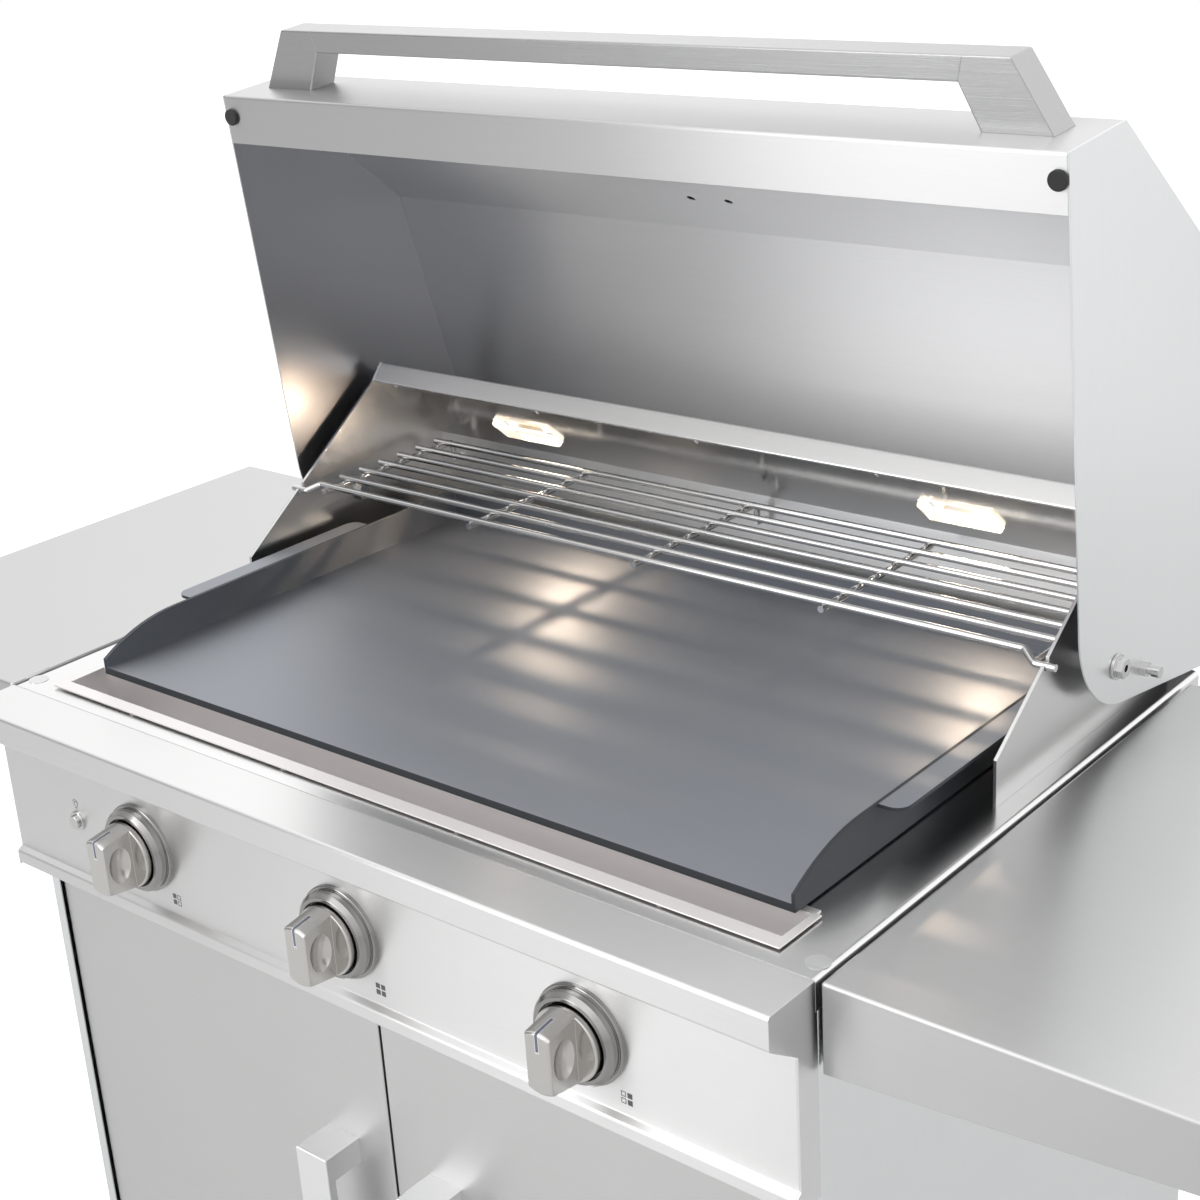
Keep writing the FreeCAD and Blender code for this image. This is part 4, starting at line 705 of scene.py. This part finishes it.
# %% White world
DULL_LIGHT = 0.7
world = bpy.data.worlds.new("white_studio")
bpy.context.scene.world = world
world.use_nodes = True
backdrop = world.node_tree.nodes["Background"]
path = world.node_tree.nodes.new("ShaderNodeLightPath").outputs
look = world.node_tree.nodes.new("ShaderNodeTexCoord").outputs["Generated"]
height, depth, aside = [Wire(look).axis(letter) for letter in "ZYX"]
to_front, to_left = depth * -1.0, aside * -1.0
sky = 0.8 + height.between(0.0, 0.45) * 0.45 - height.between(0.7, 1.0) * 0.35
sky = sky * (1.0 + depth.between(0.3, 0.9) * 0.1) * (1.0 + aside.between(0.3, 0.9) * 0.15)
front_left = to_front.between(0.0, 0.4) * to_left.between(0.5, 0.64)
sky = sky * (1.0 - front_left * (0.6 - height.between(0.35, 0.6) * 0.3))
back_left = depth.between(0.4, 0.65) * to_left.between(0.45, 0.65) * (1.0 - height.between(0.45, 0.65))
sky = sky * (1.0 + back_left * 0.25)
front_high = to_front.between(0.2, 0.4) * height.between(0.5, 0.7)
sky = sky * (1.0 + front_high * (1.0 - to_left.between(0.45, 0.57)) * 0.6)
seen = Wire(path["Is Camera Ray"])
mirrored = Wire(path["Is Glossy Ray"]).greatest(Wire(path["Is Transmission Ray"]))
dull = 1.0 - seen.greatest(mirrored)
feed(backdrop, {"Color": (1.0, 1.0, 1.0, 1.0), "Strength": seen + mirrored * sky + dull * DULL_LIGHT})
print("white world around the cart")

# %% [markdown]
# ## The floor
# A white floor would turn grey away from the lamps. A little light of its own, for the camera and for
# mirrors, keeps it as white as the backdrop while it still takes the soft shadow under the cart.

# %% White floor
FLOOR_HALF = 12.0
floor_white, shader, place = new_finish("floor_white")
path = floor_white.node_tree.nodes.new("ShaderNodeLightPath").outputs
seen = Wire(path["Is Camera Ray"]) * 0.7 + Wire(path["Is Glossy Ray"]) * 0.16
feed(shader, {
    "Base Color": place.noise(3.0).tint((0.76, 0.76, 0.76), (0.78, 0.78, 0.78)),
    "Roughness": 0.8,
    "Emission Color": seen.tint((0.0, 0.0, 0.0), (1.0, 1.0, 1.0)),
    "Emission Strength": 1.0,
})
shape = bmesh.new()
bmesh.ops.create_grid(shape, x_segments=4, y_segments=4, size=FLOOR_HALF)
floor_mesh = bpy.data.meshes.new("floor")
shape.to_mesh(floor_mesh)
shape.free()
floor_mesh.materials.append(floor_white)
floor = bpy.data.objects.new("floor", floor_mesh)
bpy.context.scene.collection.objects.link(floor)
print("floor", 2 * FLOOR_HALF, "m wide")

# %% [markdown]
# ## The studio lamps
# Three broad lamps add direction to the even light: a weak one overhead, the main one at the front left and a
# faint one behind on the right. They stay weak enough that pale steel keeps its shading from every side.


# %% Soft lamps
def soft_lamp(name, place_at, aim, width, height, power, colour=(1.0, 1.0, 1.0)):
    lamp = bpy.data.lights.new(name, "AREA")
    lamp.shape = "RECTANGLE"
    lamp.size = width
    lamp.size_y = height
    lamp.energy = power
    lamp.color = colour
    holder = bpy.data.objects.new(name, lamp)
    holder.visible_camera = False
    holder.location = place_at
    holder.rotation_euler = (Vector(aim) - Vector(place_at)).to_track_quat("-Z", "Y").to_euler()
    bpy.context.scene.collection.objects.link(holder)
    return holder


soft_lamp("overhead_soft", (-0.4, 0.2, 3.8), (-0.2, 0.0, 0.9), width=3.4, height=3.4, power=10.0)
soft_lamp("front_left_soft", (-1.45, -3.0, 1.9), (0.0, 0.0, 1.0), width=1.2, height=2.8, power=26.5)
soft_lamp("back_right_soft", (2.6, 2.8, 1.1), (0.3, 0.2, 1.0), width=2.4, height=2.2, power=5.0)
print("studio lit")

# %% [markdown]
# ## The two hood lamps
# The halogen lamps shine down and forward out of the canopy, and they are warmer than the studio. A small
# warm lamp at each filament throws its pool on the plate, with the shadows of the rack's wires. The bulb and
# the cover around it let its light through. A fainter one under each cover is the glow that the pressed glass
# scatters sideways.

# %% Warm lamps under the canopy
WARM = (1.0, 0.76, 0.54)
FILAMENT = (540.0, 156.0)
BEAM_AIM = (300.0, 0.0)
BEAM_LEAN = 60.0
GLOW_AIM = (470.0, 80.0)
GLOW_REACH = 1.85
GLOW_GAP = 0.02
LENS_X = 259.0
LENS_SETBACK = 67.0
lens_y = PANEL_FRONT[0] + run[0] * LENS_SETBACK
lens_z = PANEL_FRONT[1] + run[1] * LENS_SETBACK
for name in ("lamp_bulbs", "lamp_lenses"):
    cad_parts[name].visible_shadow = False
for side, sign in (("left", -1.0), ("right", 1.0)):
    x = sign * LENS_X
    target = at(x - sign * BEAM_LEAN, *BEAM_AIM)
    beam = soft_lamp("hood_beam_" + side, at(x, *FILAMENT), target, 0.014, 0.008, 0.25, WARM)
    beam.data.spread = math.radians(150.0)
    cover = at(x, lens_y, lens_z) + facing * GLOW_GAP
    target = at(x * GLOW_REACH, *GLOW_AIM)
    glow = soft_lamp("hood_glow_" + side, cover, target, 0.02, 0.008, 0.055, WARM)
    glow.data.spread = math.radians(100.0)
print("hood lamps at y", round(lens_y, 1), "z", round(lens_z, 1))

# %% Finish
print("scene ready")
